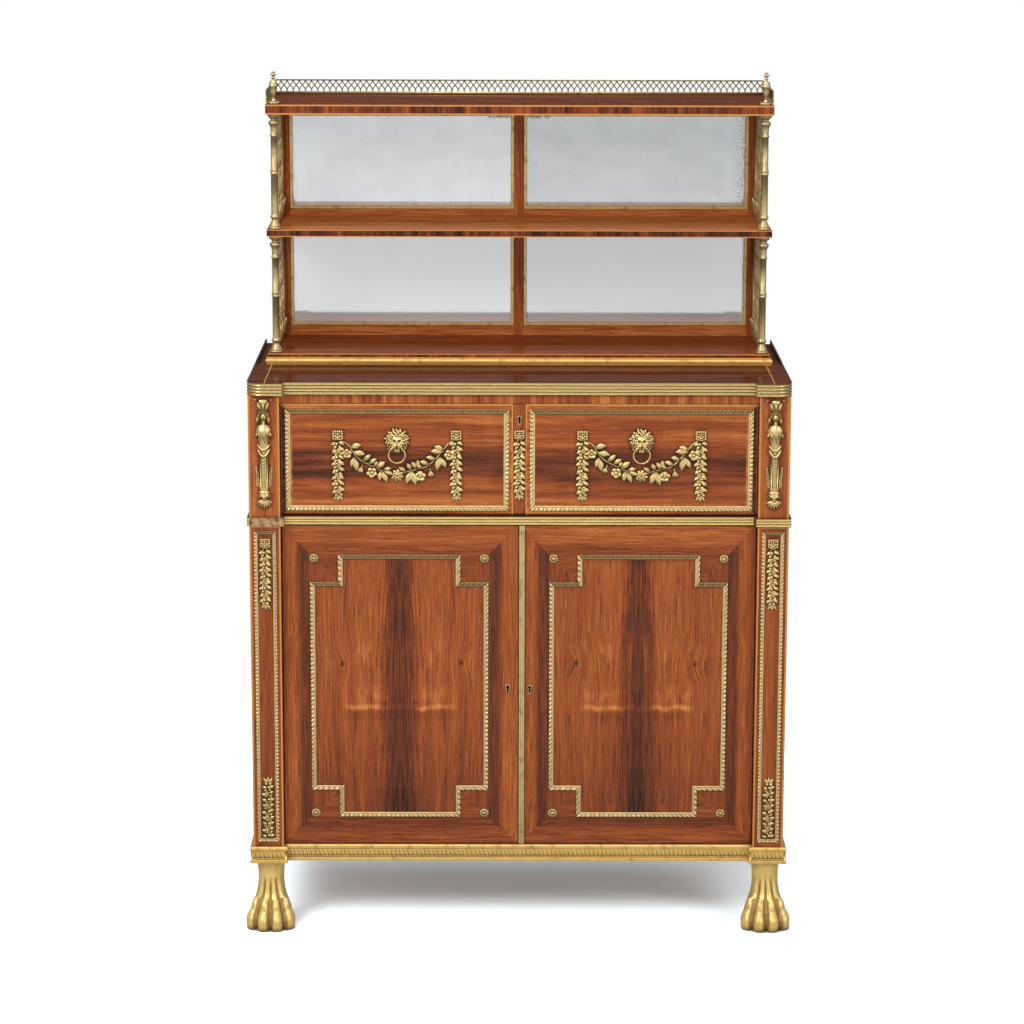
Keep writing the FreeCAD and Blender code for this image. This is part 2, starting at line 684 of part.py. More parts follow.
def grille_plate(long, high):
    """A diagonal lattice inside a border."""
    border = s.grille_border.value
    bar = s.grille_bar.value / 2
    wide, tall = long - 2 * border, high - 2 * border
    columns = max(int(round(wide / s.grille_cell.value)), 1)
    rows = max(int(round(tall / s.grille_cell.value)), 1)
    step_x, step_z = wide / columns, tall / rows
    slope = math.hypot(step_x, step_z)
    reach_x = step_x / 2 - bar * slope / step_z
    reach_z = step_z / 2 - bar * slope / step_x
    corners = [(reach_x, 0), (0, reach_z), (-reach_x, 0), (0, -reach_z)]
    holes = []
    for column in range(2 * columns + 1):
        for row in range(2 * rows + 1):
            if (column + row) % 2 == 0:
                continue
            x, z = border + column * step_x / 2, border + row * step_z / 2
            kept = [(x + dx, z + dz) for dx, dz in corners
                    if border - 1e-6 <= x + dx <= long - border + 1e-6
                    and border - 1e-6 <= z + dz <= high - border + 1e-6]
            if len(kept) < 3:
                continue
            spots = [Vector(a, 0, b) for a, b in kept]
            holes.append(Part.makePolygon(spots + spots[:1]))
    return pierced(holes, long, high, s.grille_thick.value)


def plate_feature(label, shape, x, y, z, turn=0):
    feature = doc.addObject("Part::Feature", label)
    feature.Shape = shape
    feature.Placement = FreeCAD.Placement(Vector(), FreeCAD.Rotation(Vector(0, 0, 1), turn))
    place(feature, x, y, z)
    return feature


gallery_long = stand_half - s.gallery_inset
back_plate = gallery_plate(2 * gallery_long.value)
back_gallery = plate_feature("GalleryBack", back_plate, -gallery_long, y_back - s.gallery_setback, z_gallery)
gallery_front = y_stand + s.gallery_inset
side_long = y_back - s.gallery_setback - gallery_front
side_shape = gallery_plate(side_long.value)
side_plate = plate_feature("GallerySide", side_shape, gallery_long, gallery_front, z_gallery, 90)
node("gallery", [back_gallery] + pair(side_plate))

side_front = column_y + s.column_plinth / 2
grille_long = mirror_front - side_front
grille_x = column_x + s.grille_thick / 2
grilles = []
for z, high in ((z_lower, s.lower_tier), (z_upper, s.upper_tier)):
    grille = grille_plate(grille_long.value, high.value)
    grilles += pair(plate_feature("Grille", grille, grille_x, side_front, z, 90))
node("side_grilles", grilles)

# Doors

door_low = z_case + s.door_gap
door_high = z_dust - s.door_gap
door_in = s.door_gap / 2
door_out = opening - s.door_side_gap
key_z = door_low + s.key_rise


def key_outline(x, z, shrink=0):
    """A round-headed keyhole outline about a middle point."""
    wide = s.key_plate_wide / 2 - shrink
    high = s.key_plate_high / 2 - shrink
    return [(x - wide * 0.62, z - high), (x + wide * 0.62, z - high), (x + wide * 0.55, z + high * 0.1),
            (x + wide, z + high * 0.55, wide * 1.02, 1), (x - wide, z + high * 0.55),
            (x - wide * 0.55, z + high * 0.1)]


def key_plate(x, y, z):
    """The brass lining of a keyhole."""
    item = body("KeyPlate", y=y + s.key_plate_deep)
    lines = sketch(item, "XZ_Plane")
    draw(lines, key_outline(x, z))
    draw(lines, key_outline(x, z, s.key_plate_rim))
    pad(item, lines, s.key_plate_deep + s.key_plate_proud)
    return item


def lock_box(y_inner):
    x = (door_in, door_in + s.lock_wide)
    z = (key_z - s.lock_high / 2, key_z + s.lock_high / 2)
    return x, (y_inner - s.lock_deep, y_inner), z


def door_board(with_lock):
    item = body("Door", y=y_face)
    front = sketch(item, "XZ_Plane")
    draw(front, rectangle(door_in, door_out, door_low, door_high))
    pad(item, front, s.door_thick, reverse=True)
    plate = rectangle(plate_x[0], plate_x[1], plate_y[0] - y_face, plate_y[1] - y_face)
    for lift, up in ((door_high, False), (door_low, True)):
        recess = sketch(item, "XY_Plane", lift)
        draw(recess, plate)
        pocket(item, recess, s.pivot_plate_thick, reverse=up)
    keyhole = sketch(item, "XZ_Plane")
    draw(keyhole, key_outline(s.key_from_middle, key_z))
    pocket(item, keyhole, s.key_plate_deep)
    if with_lock:
        (x0, x1), _, (z0, z1) = lock_box(s.door_thick)
        housing = sketch(item, "XZ_Plane", -s.door_thick)
        draw(housing, rectangle(x0, x1, z0, z1))
        pocket(item, housing, s.lock_deep, reverse=True)
    return item


def notched(x0, x1, z0, z1, notch):
    """A rectangle with a square step in each corner."""
    return [(x0 + notch, z0), (x1 - notch, z0), (x1 - notch, z0 + notch), (x1, z0 + notch),
            (x1, z1 - notch), (x1 - notch, z1 - notch), (x1 - notch, z1), (x0 + notch, z1),
            (x0 + notch, z1 - notch), (x0, z1 - notch), (x0, z0 + notch), (x0 + notch, z0 + notch)]


def mount_frame(y, outer, inner, deep):
    """A gilt frame with bevelled edges, standing out from an upright face."""
    item = body("MountFrame", y=y)
    lines = sketch(item, "XZ_Plane")
    draw(lines, outer)
    draw(lines, inner)
    bevel(item, pad(item, lines, deep), deep, s.frame_bevel)
    return item


def button(x, y, z, radius, deep):
    """A small domed mount on an upright face."""
    item = body("Button", x, y, z)
    profile = sketch(item, "XY_Plane")
    draw(profile, [(0, 0), (radius, 0), (radius, -deep * 0.35), (radius * 0.55, -deep * 0.55),
                   (radius * 0.4, -deep), (0, -deep)])
    revolve(item, profile)
    return item


frame_x = (s.door_frame_meeting, door_out - s.door_frame_side)
frame_z = (door_low + s.door_frame_low, door_high - s.door_frame_top)
bar = s.door_frame_bar
door_outer = notched(*frame_x, *frame_z, s.door_notch)
door_inner = notched(frame_x[0] + bar, frame_x[1] - bar, frame_z[0] + bar, frame_z[1] - bar, s.door_notch)
door_mounts = [mount_frame(y_face, door_outer, door_inner, s.door_frame_deep)]
for x in (frame_x[0] + s.rosette_in, frame_x[1] - s.rosette_in):
    for z in (frame_z[0] + s.rosette_in, frame_z[1] - s.rosette_in):
        door_mounts.append(button(x, y_face, z, s.rosette_radius, s.rosette_deep))

node("right_door_board", door_board(True))
node("left_door_board", mirrored(door_board(False)))
node("right_door_mounts", door_mounts)
door_key = key_plate(s.key_from_middle, y_face, key_z)
node("left_door_mounts", [mirrored(mount) for mount in door_mounts + [door_key]])
lock_x, lock_y, lock_z = lock_box(y_face + s.door_thick)
node("right_door_lock", [board(lock_x, lock_y, lock_z), door_key])

strip = body("meeting_strip", z=door_low)
strip_plan = sketch(strip, "XY_Plane")
reed = s.strip_width / 3
reed_round = (reed * reed / 4 + s.strip_bulge * s.strip_bulge) / (2 * s.strip_bulge)
strip_left = door_in - s.strip_reach
strip_right = strip_left + s.strip_width
strip_front = y_face - s.strip_deep + s.strip_bulge
strip_reeds = [(strip_left + reed * index, strip_front, reed_round, 1) for index in range(3)]
draw(strip_plan, [(strip_left, y_face)] + strip_reeds + [(strip_right, strip_front), (strip_right, y_face)])
pad(strip, strip_plan, door_high - door_low)
node("meeting_strip", strip)


def pivot_plate(z, hole, pin_up=None):
    """A centre-hinge plate: the case's has the hole, the door's has the pin."""
    item = body("PivotPlate", z=z)
    plan = sketch(item, "XY_Plane")
    draw(plan, rectangle(*plate_x, *plate_y))
    if hole:
        circle(plan, hinge_x, hinge_y, s.pivot_radius + s.pivot_fit)
    pad(item, plan, s.pivot_plate_thick)
    if not hole:
        pin = sketch(item, "XY_Plane", s.pivot_plate_thick if pin_up else 0)
        circle(pin, hinge_x, hinge_y, s.pivot_radius)
        pad(item, pin, s.door_gap + s.pivot_plate_thick - s.pin_end_gap, reverse=not pin_up)
    return item


case_plates = [pivot_plate(z_case - s.pivot_plate_thick, True), pivot_plate(z_dust, True)]
node("case_pivot_plates", case_plates + [mirrored(plate) for plate in case_plates])
door_plates = [pivot_plate(door_low, False, False), pivot_plate(door_high - s.pivot_plate_thick, False, True)]
node("right_door_pivots", door_plates)
node("left_door_pivots", [mirrored(plate) for plate in door_plates])

# Secretaire drawer

fall_low = z_drawer + s.fall_gap
fall_high = z_frieze - s.fall_top_gap
fall_half = opening - s.fall_side_gap
fall_long = fall_high - fall_low
y_inner = y_face + s.fall_thick
axis_y = y_face + s.fall_axis_deep
axis_z = fall_low + s.fall_axis_rise
writing_z = axis_z + s.fall_thick - s.fall_axis_deep
cheek_in = fall_half - s.cheek_thick
cheek_y = (y_inner + s.joint_gap, y_back - s.back_thick - s.drawer_back_gap)
cheek_z = (z_drawer + s.slide_gap, z_frieze - s.head_gap)
stay_x = (cheek_in + s.stay_inset, cheek_in + s.stay_inset + s.stay_thick)
stay_out = s.stay_radius + s.stay_width / 2
stay_inner = s.stay_radius - s.stay_width / 2
plate_reach = axis_y + s.fall_plate_long

# The lower edge of the fall swings back under the axis, so the cheeks are hollowed round it.
knuckle_y = s.fall_thick - s.fall_axis_deep - s.fall_round
knuckle_z = s.fall_axis_rise - s.fall_round
knuckle = root(knuckle_y * knuckle_y + knuckle_z * knuckle_z) + s.fall_round + s.knuckle_gap

kerf = board((stay_x[0] - s.joint_gap, stay_x[1] + s.joint_gap), (y_face, axis_y + stay_out + s.stay_play),
             (z_dust, axis_z + stay_out + s.stay_play))
plate_seat = board((fall_half - s.fall_plate_thick, fall_half + s.overcut), (y_face, plate_reach),
                   (axis_z - s.fall_plate_half, axis_z + s.fall_plate_half))
hollow = rod((cheek_in - s.overcut, fall_half + s.overcut), axis_y, axis_z, knuckle)
cheek = cut(board((cheek_in, fall_half), cheek_y, cheek_z), [kerf, plate_seat, hollow])
node("drawer_cheeks", pair(cheek))

drawer_rear = cheek_y[1] - s.drawer_back_thick
pigeon_front = drawer_rear - s.pigeon_depth
bottom_front = axis_y + knuckle
leather_y = (bottom_front + s.leather_margin / 2, pigeon_front - s.leather_margin / 2)
leather_x = (-(cheek_in - s.leather_margin), cheek_in - s.leather_margin)
bottom_z = (writing_z - s.drawer_board, writing_z)
leather_bed = board(leather_x, leather_y, (writing_z - s.leather_thick, writing_z + s.overcut))
node("drawer_bottom", cut(board((-cheek_in, cheek_in), (bottom_front, drawer_rear), bottom_z), [leather_bed]))
node("writing_leather", board(leather_x, leather_y, (writing_z - s.leather_thick, writing_z)))
node("drawer_back", board((-cheek_in, cheek_in), (drawer_rear, cheek_y[1]), cheek_z))

runner_x = (fall_half + s.joint_gap, inside)
runner_y = (y_behind, y_back - s.back_thick)
kicker_y = (y_face + s.frieze_thick, y_back - s.back_thick)
runners = pair(board(runner_x, runner_y, (z_drawer, z_drawer + s.runner_height)))
runners += pair(board((cheek_in, inside), kicker_y, (cheek_z[1] + s.slide_gap, z_top)))
node("drawer_runners", runners)

pivot = body("FallPlate", fall_half - s.fall_plate_thick)
nose = sketch(pivot, "YZ_Plane")
draw(nose, [(axis_y, axis_z - s.fall_plate_half), (plate_reach, axis_z - s.fall_plate_half),
            (plate_reach, axis_z + s.fall_plate_half),
            (axis_y, axis_z + s.fall_plate_half, s.fall_plate_half * 1.02, 1)])
circle(nose, axis_y, axis_z, s.fall_pin_radius + s.pivot_fit)
pad(pivot, nose, s.fall_plate_thick)
node("fall_pivot_plates", pair(pivot))

# Pigeonholes and small drawers

board_thick = s.pigeon_board
pigeon_y = (pigeon_front, drawer_rear)
pigeon_top = cheek_z[1] - s.pigeon_head_gap
case_z = (writing_z, pigeon_top - board_thick)
stack_in = cheek_in - s.small_drawer_wide - board_thick
mid_z = (case_z[0] + case_z[1]) / 2
half_board = board_thick / 2
pigeon_boards = [board((-cheek_in, cheek_in), pigeon_y, (case_z[1], pigeon_top))]
pigeon_boards += pair(board((stack_in, stack_in + board_thick), pigeon_y, case_z))
pigeon_boards += pair(board((stack_in + board_thick, cheek_in), pigeon_y,
                            (mid_z - half_board, mid_z + half_board)))
pigeon_boards.append(board((-half_board, half_board), pigeon_y, case_z))
pigeon_boards += pair(board((stack_in / 2 - half_board, stack_in / 2 + half_board), pigeon_y, case_z))
node("pigeonholes", pigeon_boards)


def small_drawer(z_low, z_high):
    """A small drawer of five boards with a turned knob."""
    x = (stack_in + board_thick + s.joint_gap, cheek_in - s.joint_gap)
    y = (pigeon_front + s.small_drawer_setback, drawer_rear - s.small_drawer_back_gap)
    z = (z_low + s.joint_gap, z_high - s.joint_gap)
    thin = s.small_board
    front = board(x, (y[0], y[0] + thin), z)
    back = board(x, (y[1] - thin, y[1]), z)
    between = (y[0] + thin, y[1] - thin)
    left = board((x[0], x[0] + thin), between, z)
    right = board((x[1] - thin, x[1]), between, z)
    floor = board((x[0] + thin, x[1] - thin), between, (z[0], z[0] + thin))
    knob = body("Knob", (x[0] + x[1]) / 2, y[0], (z[0] + z[1]) / 2)
    profile = sketch(knob, "XY_Plane")
    radius = s.knob_radius
    draw(profile, [(0, 0), (radius * 0.7, 0), (radius * 0.7, -radius * 0.2), (radius * 0.45, -radius * 0.33),
                   (radius * 0.45, -radius * 0.83), (radius * 0.95, -radius * 1.17, radius * 1.1, -1),
                   (0, -radius * 2)])
    revolve(knob, profile)
    return [front, back, left, right, floor, knob]


lower_drawer = small_drawer(case_z[0], mid_z - half_board)
upper_drawer = small_drawer(mid_z + half_board, case_z[1])
node("right_lower_small_drawer", lower_drawer)
node("right_upper_small_drawer", upper_drawer)
node("left_lower_small_drawer", [mirrored(piece) for piece in lower_drawer])
node("left_upper_small_drawer", [mirrored(piece) for piece in upper_drawer])

# Fall front

fall = body("fall_board", y=y_face, z=fall_low)
section = sketch(fall, "YZ_Plane")
draw(section, [(s.fall_round, 0), (s.fall_thick - s.fall_round, 0, s.fall_round, 1),
               (s.fall_thick, s.fall_round), (s.fall_thick, fall_long), (0, fall_long),
               (0, s.fall_round, s.fall_round, 1)])
pad(fall, section, fall_half * 2, middle=True)
notch_in = fall_half - s.fall_plate_thick - s.joint_gap
notch_out = fall_half + s.overcut
# The notches for the pivot plates stop short of the front, so the face of the fall stays whole.
notch_skin = s.fall_axis_deep - s.fall_plate_half - s.joint_gap
notches = sketch(fall, "XZ_Plane", -s.fall_thick)
draw(notches, rectangle(notch_in, notch_out, -s.overcut, s.fall_notch_high))
draw(notches, rectangle(-notch_out, -notch_in, -s.overcut, s.fall_notch_high))
pocket(fall, notches, s.fall_thick - notch_skin, reverse=True)
for side in (1, -1):
    bore = sketch(fall, "YZ_Plane", notch_in * side)
    circle(bore, s.fall_axis_deep, s.fall_axis_rise, s.fall_pin_radius)
    pocket(fall, bore, s.fall_pin_in, reverse=side < 0)
mortises = sketch(fall, "XZ_Plane", -s.fall_thick)
stay_low = s.fall_axis_rise + stay_inner - s.joint_gap
stay_high = s.fall_axis_rise + stay_out
draw(mortises, rectangle(stay_x[0], stay_x[1], stay_low, stay_high))
draw(mortises, rectangle(-stay_x[1], -stay_x[0], stay_low, stay_high))
pocket(fall, mortises, s.stay_in, reverse=True)
lock_size = s.lock_wide / 2
fall_lock_z = (fall_long - s.lock_wide, fall_long)
lock_bed = sketch(fall, "XZ_Plane", -s.fall_thick)
draw(lock_bed, rectangle(-lock_size, lock_size, *fall_lock_z))
pocket(fall, lock_bed, s.lock_deep, reverse=True)
fall_key = fall_long - s.fall_key_drop
key_bed = sketch(fall, "XZ_Plane")
draw(key_bed, key_outline(as_size(0), fall_key))
pocket(fall, key_bed, s.key_plate_deep)
leather_fall_z = (s.leather_margin, fall_long - s.lock_wide - s.leather_margin / 2)
leather_bed = sketch(fall, "XZ_Plane", -s.fall_thick)
draw(leather_bed, rectangle(*leather_x, *leather_fall_z))
pocket(fall, leather_bed, s.leather_thick, reverse=True)
node("fall_board", fall)
node("fall_leather", board(leather_x, (y_inner - s.leather_thick, y_inner),
                           (fall_low + leather_fall_z[0], fall_low + leather_fall_z[1])))
node("fall_lock", [board((-lock_size, lock_size), (y_inner - s.lock_deep, y_inner),
                         (fall_low + fall_lock_z[0], fall_low + fall_lock_z[1])),
                   key_plate(as_size(0), y_face, fall_low + fall_key)])

pin = body("FallPin", notch_in - s.fall_pin_in)
pin_end = sketch(pin, "YZ_Plane")
circle(pin_end, axis_y, axis_z, s.fall_pin_radius)
pad(pin, pin_end, s.fall_pin_in + s.joint_gap + s.fall_plate_thick - s.pin_end_gap)
node("fall_pins", pair(pin))

stay = body("Stay", stay_x[0])
bow = sketch(stay, "YZ_Plane")
stay_end = s.fall_thick - s.fall_axis_deep - s.stay_in
square_in = stay_end * stay_end
drop = s.stay_drop
draw(bow, [
    (axis_y + root(stay_out * stay_out - drop * drop), axis_z - drop, stay_out, 1),
    (axis_y + stay_end, axis_z + root(stay_out * stay_out - square_in)),
    (axis_y + stay_end, axis_z + root(stay_inner * stay_inner - square_in), stay_inner, -1),
    (axis_y + root(stay_inner * stay_inner - drop * drop), axis_z - drop),
])
pad(stay, bow, s.stay_thick)
node("quadrant_stays", pair(stay))

fall_frame_x = (s.fall_frame_middle, fall_half - s.fall_frame_side)
fall_frame_z = (fall_low + s.fall_frame_low, fall_high - s.fall_frame_top)
bar = s.fall_frame_bar
node("fall_frames", pair(mount_frame(
    y_face, rectangle(*fall_frame_x, *fall_frame_z),
    rectangle(fall_frame_x[0] + bar, fall_frame_x[1] - bar, fall_frame_z[0] + bar, fall_frame_z[1] - bar),
    s.fall_frame_deep)))

# Ornament on the fall and pilasters


def husks(x, y, z_top, long, wide_half, count, tip_up=False):
    """A drop of bell-shaped husks, flat at the back, that narrows to its tip."""
    item = body("Husks", x, y, z_top)
    profile = sketch(item, "XZ_Plane")
    step = long / (count + 0.5)
    sign = 1 if tip_up else -1
    points = [(as_size(0), as_size(0))]
    for index in range(count):
        wide = wide_half * (1 - 0.6 * index / count)
        points.append((wide * 0.45, step * (index + 0.05) * sign))
        points.append((wide, step * (index + 0.8) * sign))
    points.append((wide_half * 0.12, long * sign))
    points.append((as_size(0), long * sign))
    draw(profile, points)
    revolve(item, profile, 180, reverse=True)
    return item


panel_x = (fall_frame_x[0] + fall_frame_x[1]) / 2
swag_z = fall_low + s.swag_rise
drops = [husks(panel_x + s.swag_half * side, y_face, swag_z - s.drop_gap, s.side_drop_long, s.drop_half, 6)
         for side in (-1, 1)]
swag_reach = s.swag_half - s.swag_end_gap
swag_bend = (swag_reach * swag_reach + s.swag_sag * s.swag_sag) / (2 * s.swag_sag)
garland = body("Swag", panel_x, y_face, swag_z - s.swag_sag + swag_bend)
garland.Placement = FreeCAD.Placement(Vector(), FreeCAD.Rotation(Vector(0, 1, 0), 90))
garland_end = sketch(garland, "XY_Plane")
draw(garland_end, [(swag_bend - s.swag_thick, 0, s.swag_thick * 1.05, 1), (swag_bend + s.swag_thick, 0)])
revolve(garland, garland_end, arc_sine(swag_reach / swag_bend) * 2, middle=True)
rose = button(panel_x, y_face, swag_z - s.swag_sag, s.swag_mask_radius, s.rose_deep)
masks = [button(panel_x + s.swag_half * side, y_face, swag_z, s.swag_mask_radius, s.swag_mask_deep)
         for side in (-1, 1)]
middle_drop_z = fall_low + s.middle_drop_rise + s.middle_drop_long
middle_drop = husks(0, y_face, middle_drop_z, s.middle_drop_long, s.drop_half, 7)
swags = []
for piece in drops + [fuse([garland, rose])] + masks:
    swags += pair(piece)
node("fall_swags", swags + [middle_drop])

lion_z = fall_low + s.lion_rise
ring_axis_z = lion_z - s.lion_half * 0.45
ring_axis_y = y_face - s.ring_reach


def lump(x, y, z, wide, deep, high):
    ball = doc.addObject("Part::Ellipsoid", "Lump")
    bind(ball, "Radius1", high)
    bind(ball, "Radius2", wide)
    bind(ball, "Radius3", deep)
    place(ball, x, y, z)
    return ball


lion_wide = s.lion_half
lion_deep = s.lion_deep
lion = fuse([
    lump(panel_x, y_face, lion_z, lion_wide, lion_deep * 0.55, lion_wide * 0.95),
    lump(panel_x, y_face - lion_deep * 0.2, lion_z + lion_wide * 0.05,
         lion_wide * 0.62, lion_deep * 0.62, lion_wide * 0.72),
    lump(panel_x, y_face - lion_deep * 0.33, lion_z - lion_wide * 0.33,
         lion_wide * 0.34, lion_deep * 0.67, lion_wide * 0.42),
])
lion_reach = lion_wide * 2
behind_fall = board((panel_x - lion_reach, panel_x + lion_reach), (y_face, y_face + lion_reach),
                    (lion_z - lion_reach, lion_z + lion_reach))
mouth = rod((panel_x - lion_wide, panel_x + lion_wide), ring_axis_y, ring_axis_z,
            s.ring_wire + s.ring_lift + s.ring_play)
node("lion_masks", pair(cut(lion, [behind_fall, mouth])))

ring = doc.addObject("Part::Torus", "Ring")
bind(ring, "Radius1", s.ring_radius)
bind(ring, "Radius2", s.ring_wire)
ring.Placement = FreeCAD.Placement(Vector(), FreeCAD.Rotation(Vector(1, 0, 0), 90))
place(ring, panel_x, ring_axis_y, ring_axis_z + s.ring_lift - s.ring_radius)
node("right_ring_pull", ring)
node("left_ring_pull", mirrored(ring))

pilaster_half = s.pilaster_frame_wide / 2
band_z = (z_case + s.pilaster_frame_margin, z_dust - s.pilaster_frame_margin)
band_x = (pilaster_middle - pilaster_half, pilaster_middle + pilaster_half)
bar = s.pilaster_frame_bar
node("pilaster_frames", pair(mount_frame(
    y_pilaster, rectangle(*band_x, *band_z),
    rectangle(band_x[0] + bar, band_x[1] - bar, band_z[0] + bar, band_z[1] - bar), s.pilaster_frame_deep)))
drop = husks(pilaster_middle, y_pilaster, band_z[1] - bar - s.drop_gap, s.pilaster_drop_long, s.drop_half, 7)
sprig = husks(pilaster_middle, y_pilaster, band_z[0] + bar + s.sprig_gap, s.pilaster_sprig_long, s.drop_half, 6,
              tip_up=True)
node("pilaster_drops", pair(drop) + pair(sprig))


def turned_part(z, high, low_radius, high_radius):
    cone = doc.addObject("Part::Cone", "Taper")
    bind(cone, "Radius1", low_radius)
    bind(cone, "Radius2", high_radius)
    bind(cone, "Height", high)
    place(cone, pilaster_middle, y_pilaster, z)
    return cone


herm_low = z_drawer + (z_top - z_drawer - s.herm_height) / 2 + s.herm_lift
tall = s.herm_height
wide = s.herm_half
herm = fuse([
    turned_part(herm_low, tall * 0.1, wide * 0.25, wide * 0.85),
    lump(pilaster_middle, y_pilaster, herm_low + tall * 0.11, wide * 0.95, s.herm_deep * 0.55, tall * 0.04),
    turned_part(herm_low + tall * 0.1, tall * 0.56, wide * 0.42, wide * 0.72),
    lump(pilaster_middle, y_pilaster, herm_low + tall * 0.38, wide * 0.98, s.herm_deep * 0.35, tall * 0.22),
    lump(pilaster_middle, y_pilaster, herm_low + tall * 0.66, wide * 0.86, s.herm_deep * 0.85, tall * 0.085),
    lump(pilaster_middle, y_pilaster - s.herm_deep * 0.13, herm_low + tall * 0.8, wide * 0.56,
         s.herm_deep * 0.87, tall * 0.08),
    turned_part(herm_low + tall * 0.87, tall * 0.13, wide * 0.6, wide),
])
behind_herm = board((pilaster_middle - wide * 2, pilaster_middle + wide * 2),
                    (y_pilaster, y_pilaster + wide * 2), (herm_low - wide, herm_low + tall + wide))
node("herm_mounts", pair(cut(herm, [behind_herm])))

# Check and write

doc.recompute()
for thing in doc.Objects:
    if "Invalid" in thing.State or "Error" in thing.State:
        raise RuntimeError("%s did not build: %s" % (thing.Label, thing.State))
for label, thing in nodes.items():
    shape = thing.Shape
    if shape.isNull() or not shape.isValid() or not shape.Solids:
        raise RuntimeError("%s has no sound solid" % label)
    shape.exportStep("parts/%s.step" % label)
print("%d sub-parts" % len(nodes))
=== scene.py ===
"""Looks of the secretaire cabinet: rosewood veneers, gilt mounts, brass, old mirrors and a plain studio."""
import math

import bpy
import numpy as np
from mathutils import Matrix, Vector


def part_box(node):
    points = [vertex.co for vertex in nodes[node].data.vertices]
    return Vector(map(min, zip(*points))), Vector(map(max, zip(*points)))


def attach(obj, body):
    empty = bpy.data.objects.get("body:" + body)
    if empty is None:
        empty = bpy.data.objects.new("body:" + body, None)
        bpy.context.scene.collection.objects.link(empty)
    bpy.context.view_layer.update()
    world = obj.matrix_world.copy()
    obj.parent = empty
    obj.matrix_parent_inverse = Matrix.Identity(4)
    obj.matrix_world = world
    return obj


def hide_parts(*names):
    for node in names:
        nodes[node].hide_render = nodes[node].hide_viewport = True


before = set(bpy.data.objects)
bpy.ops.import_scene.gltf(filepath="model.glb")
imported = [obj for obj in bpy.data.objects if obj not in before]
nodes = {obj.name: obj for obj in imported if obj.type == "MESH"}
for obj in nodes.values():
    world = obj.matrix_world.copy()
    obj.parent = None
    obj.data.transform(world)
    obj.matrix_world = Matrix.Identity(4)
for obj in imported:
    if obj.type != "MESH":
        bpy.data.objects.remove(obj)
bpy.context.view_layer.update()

MM = 0.001

# Places on the cabinet that materials and mounts share, in millimetres

FACE_Y = -184.5
PILASTER_X = 424
PILASTER_Y = -200.5
DOOR_FRAME_X = (51, 350.7)
DOOR_FRAME_Z = (191, 648)
DOOR_NOTCH = 47
DOOR_KEY = (18.5, 415.5)
FALL_KEY_Z = 877
TOP_SHELF_Z = 1383

# Node materials


class Value:
    """A number that varies over a surface; arithmetic on it adds nodes to its tree."""

    def __init__(self, paint, socket):
        self.paint = paint
        self.socket = socket

    def math(self, operation, *others):
        return self.paint.math(operation, self, *others)

    def __add__(self, other):
        return self.math("ADD", other)

    def __sub__(self, other):
        return self.math("SUBTRACT", other)

    def __rsub__(self, other):
        return self.paint.math("SUBTRACT", other, self)

    def __mul__(self, other):
        return self.math("MULTIPLY", other)

    def __truediv__(self, other):
        return self.math("DIVIDE", other)

    def __abs__(self):
        return self.math("ABSOLUTE")

    __radd__ = __add__
    __rmul__ = __mul__

    def least(self, other):
        return self.math("MINIMUM", other)

    def most(self, other):
        return self.math("MAXIMUM", other)

    def less(self, other):
        return self.math("LESS_THAN", other)

    def over(self, low, high):
        """A smooth step from 0 at low to 1 at high."""
        step = self.paint.add("ShaderNodeMapRange", interpolation_type="SMOOTHSTEP")
        self.paint.feed(step.inputs["Value"], self)
        self.paint.feed(step.inputs["From Min"], low)
        self.paint.feed(step.inputs["From Max"], high)
        return Value(self.paint, step.outputs["Result"])

    def within(self, low, high, soft=0.25):
        """1 between two places and 0 outside them."""
        return self.over(low - soft, low + soft) * (1 - self.over(high - soft, high + soft))

    def near(self, place, reach):
        """1 at a place, falling smoothly to 0 at a distance from it."""
        return 1 - abs(self - place).over(0, reach)


class Nodes:
    """A tree of shader nodes."""

    def __init__(self, tree):
        self.tree = tree

    def add(self, kind, **settings):
        node = self.tree.nodes.new(kind)
        for name, setting in settings.items():
            setattr(node, name, setting)
        return node

    def feed(self, socket, value):
        if isinstance(value, Value):
            self.tree.links.new(value.socket, socket)
        elif isinstance(value, bpy.types.NodeSocket):
            self.tree.links.new(value, socket)
        elif isinstance(value, tuple):
            socket.default_value = (*value, 1)
        else:
            socket.default_value = value

    def split(self, socket):
        node = self.add("ShaderNodeSeparateXYZ")
        self.feed(node.inputs[0], socket)
        return [Value(self, output) for output in node.outputs]

    def math(self, operation, *values):
        node = self.add("ShaderNodeMath", operation=operation)
        for socket, value in zip(node.inputs, values):
            self.feed(socket, value)
        return Value(self, node.outputs[0])


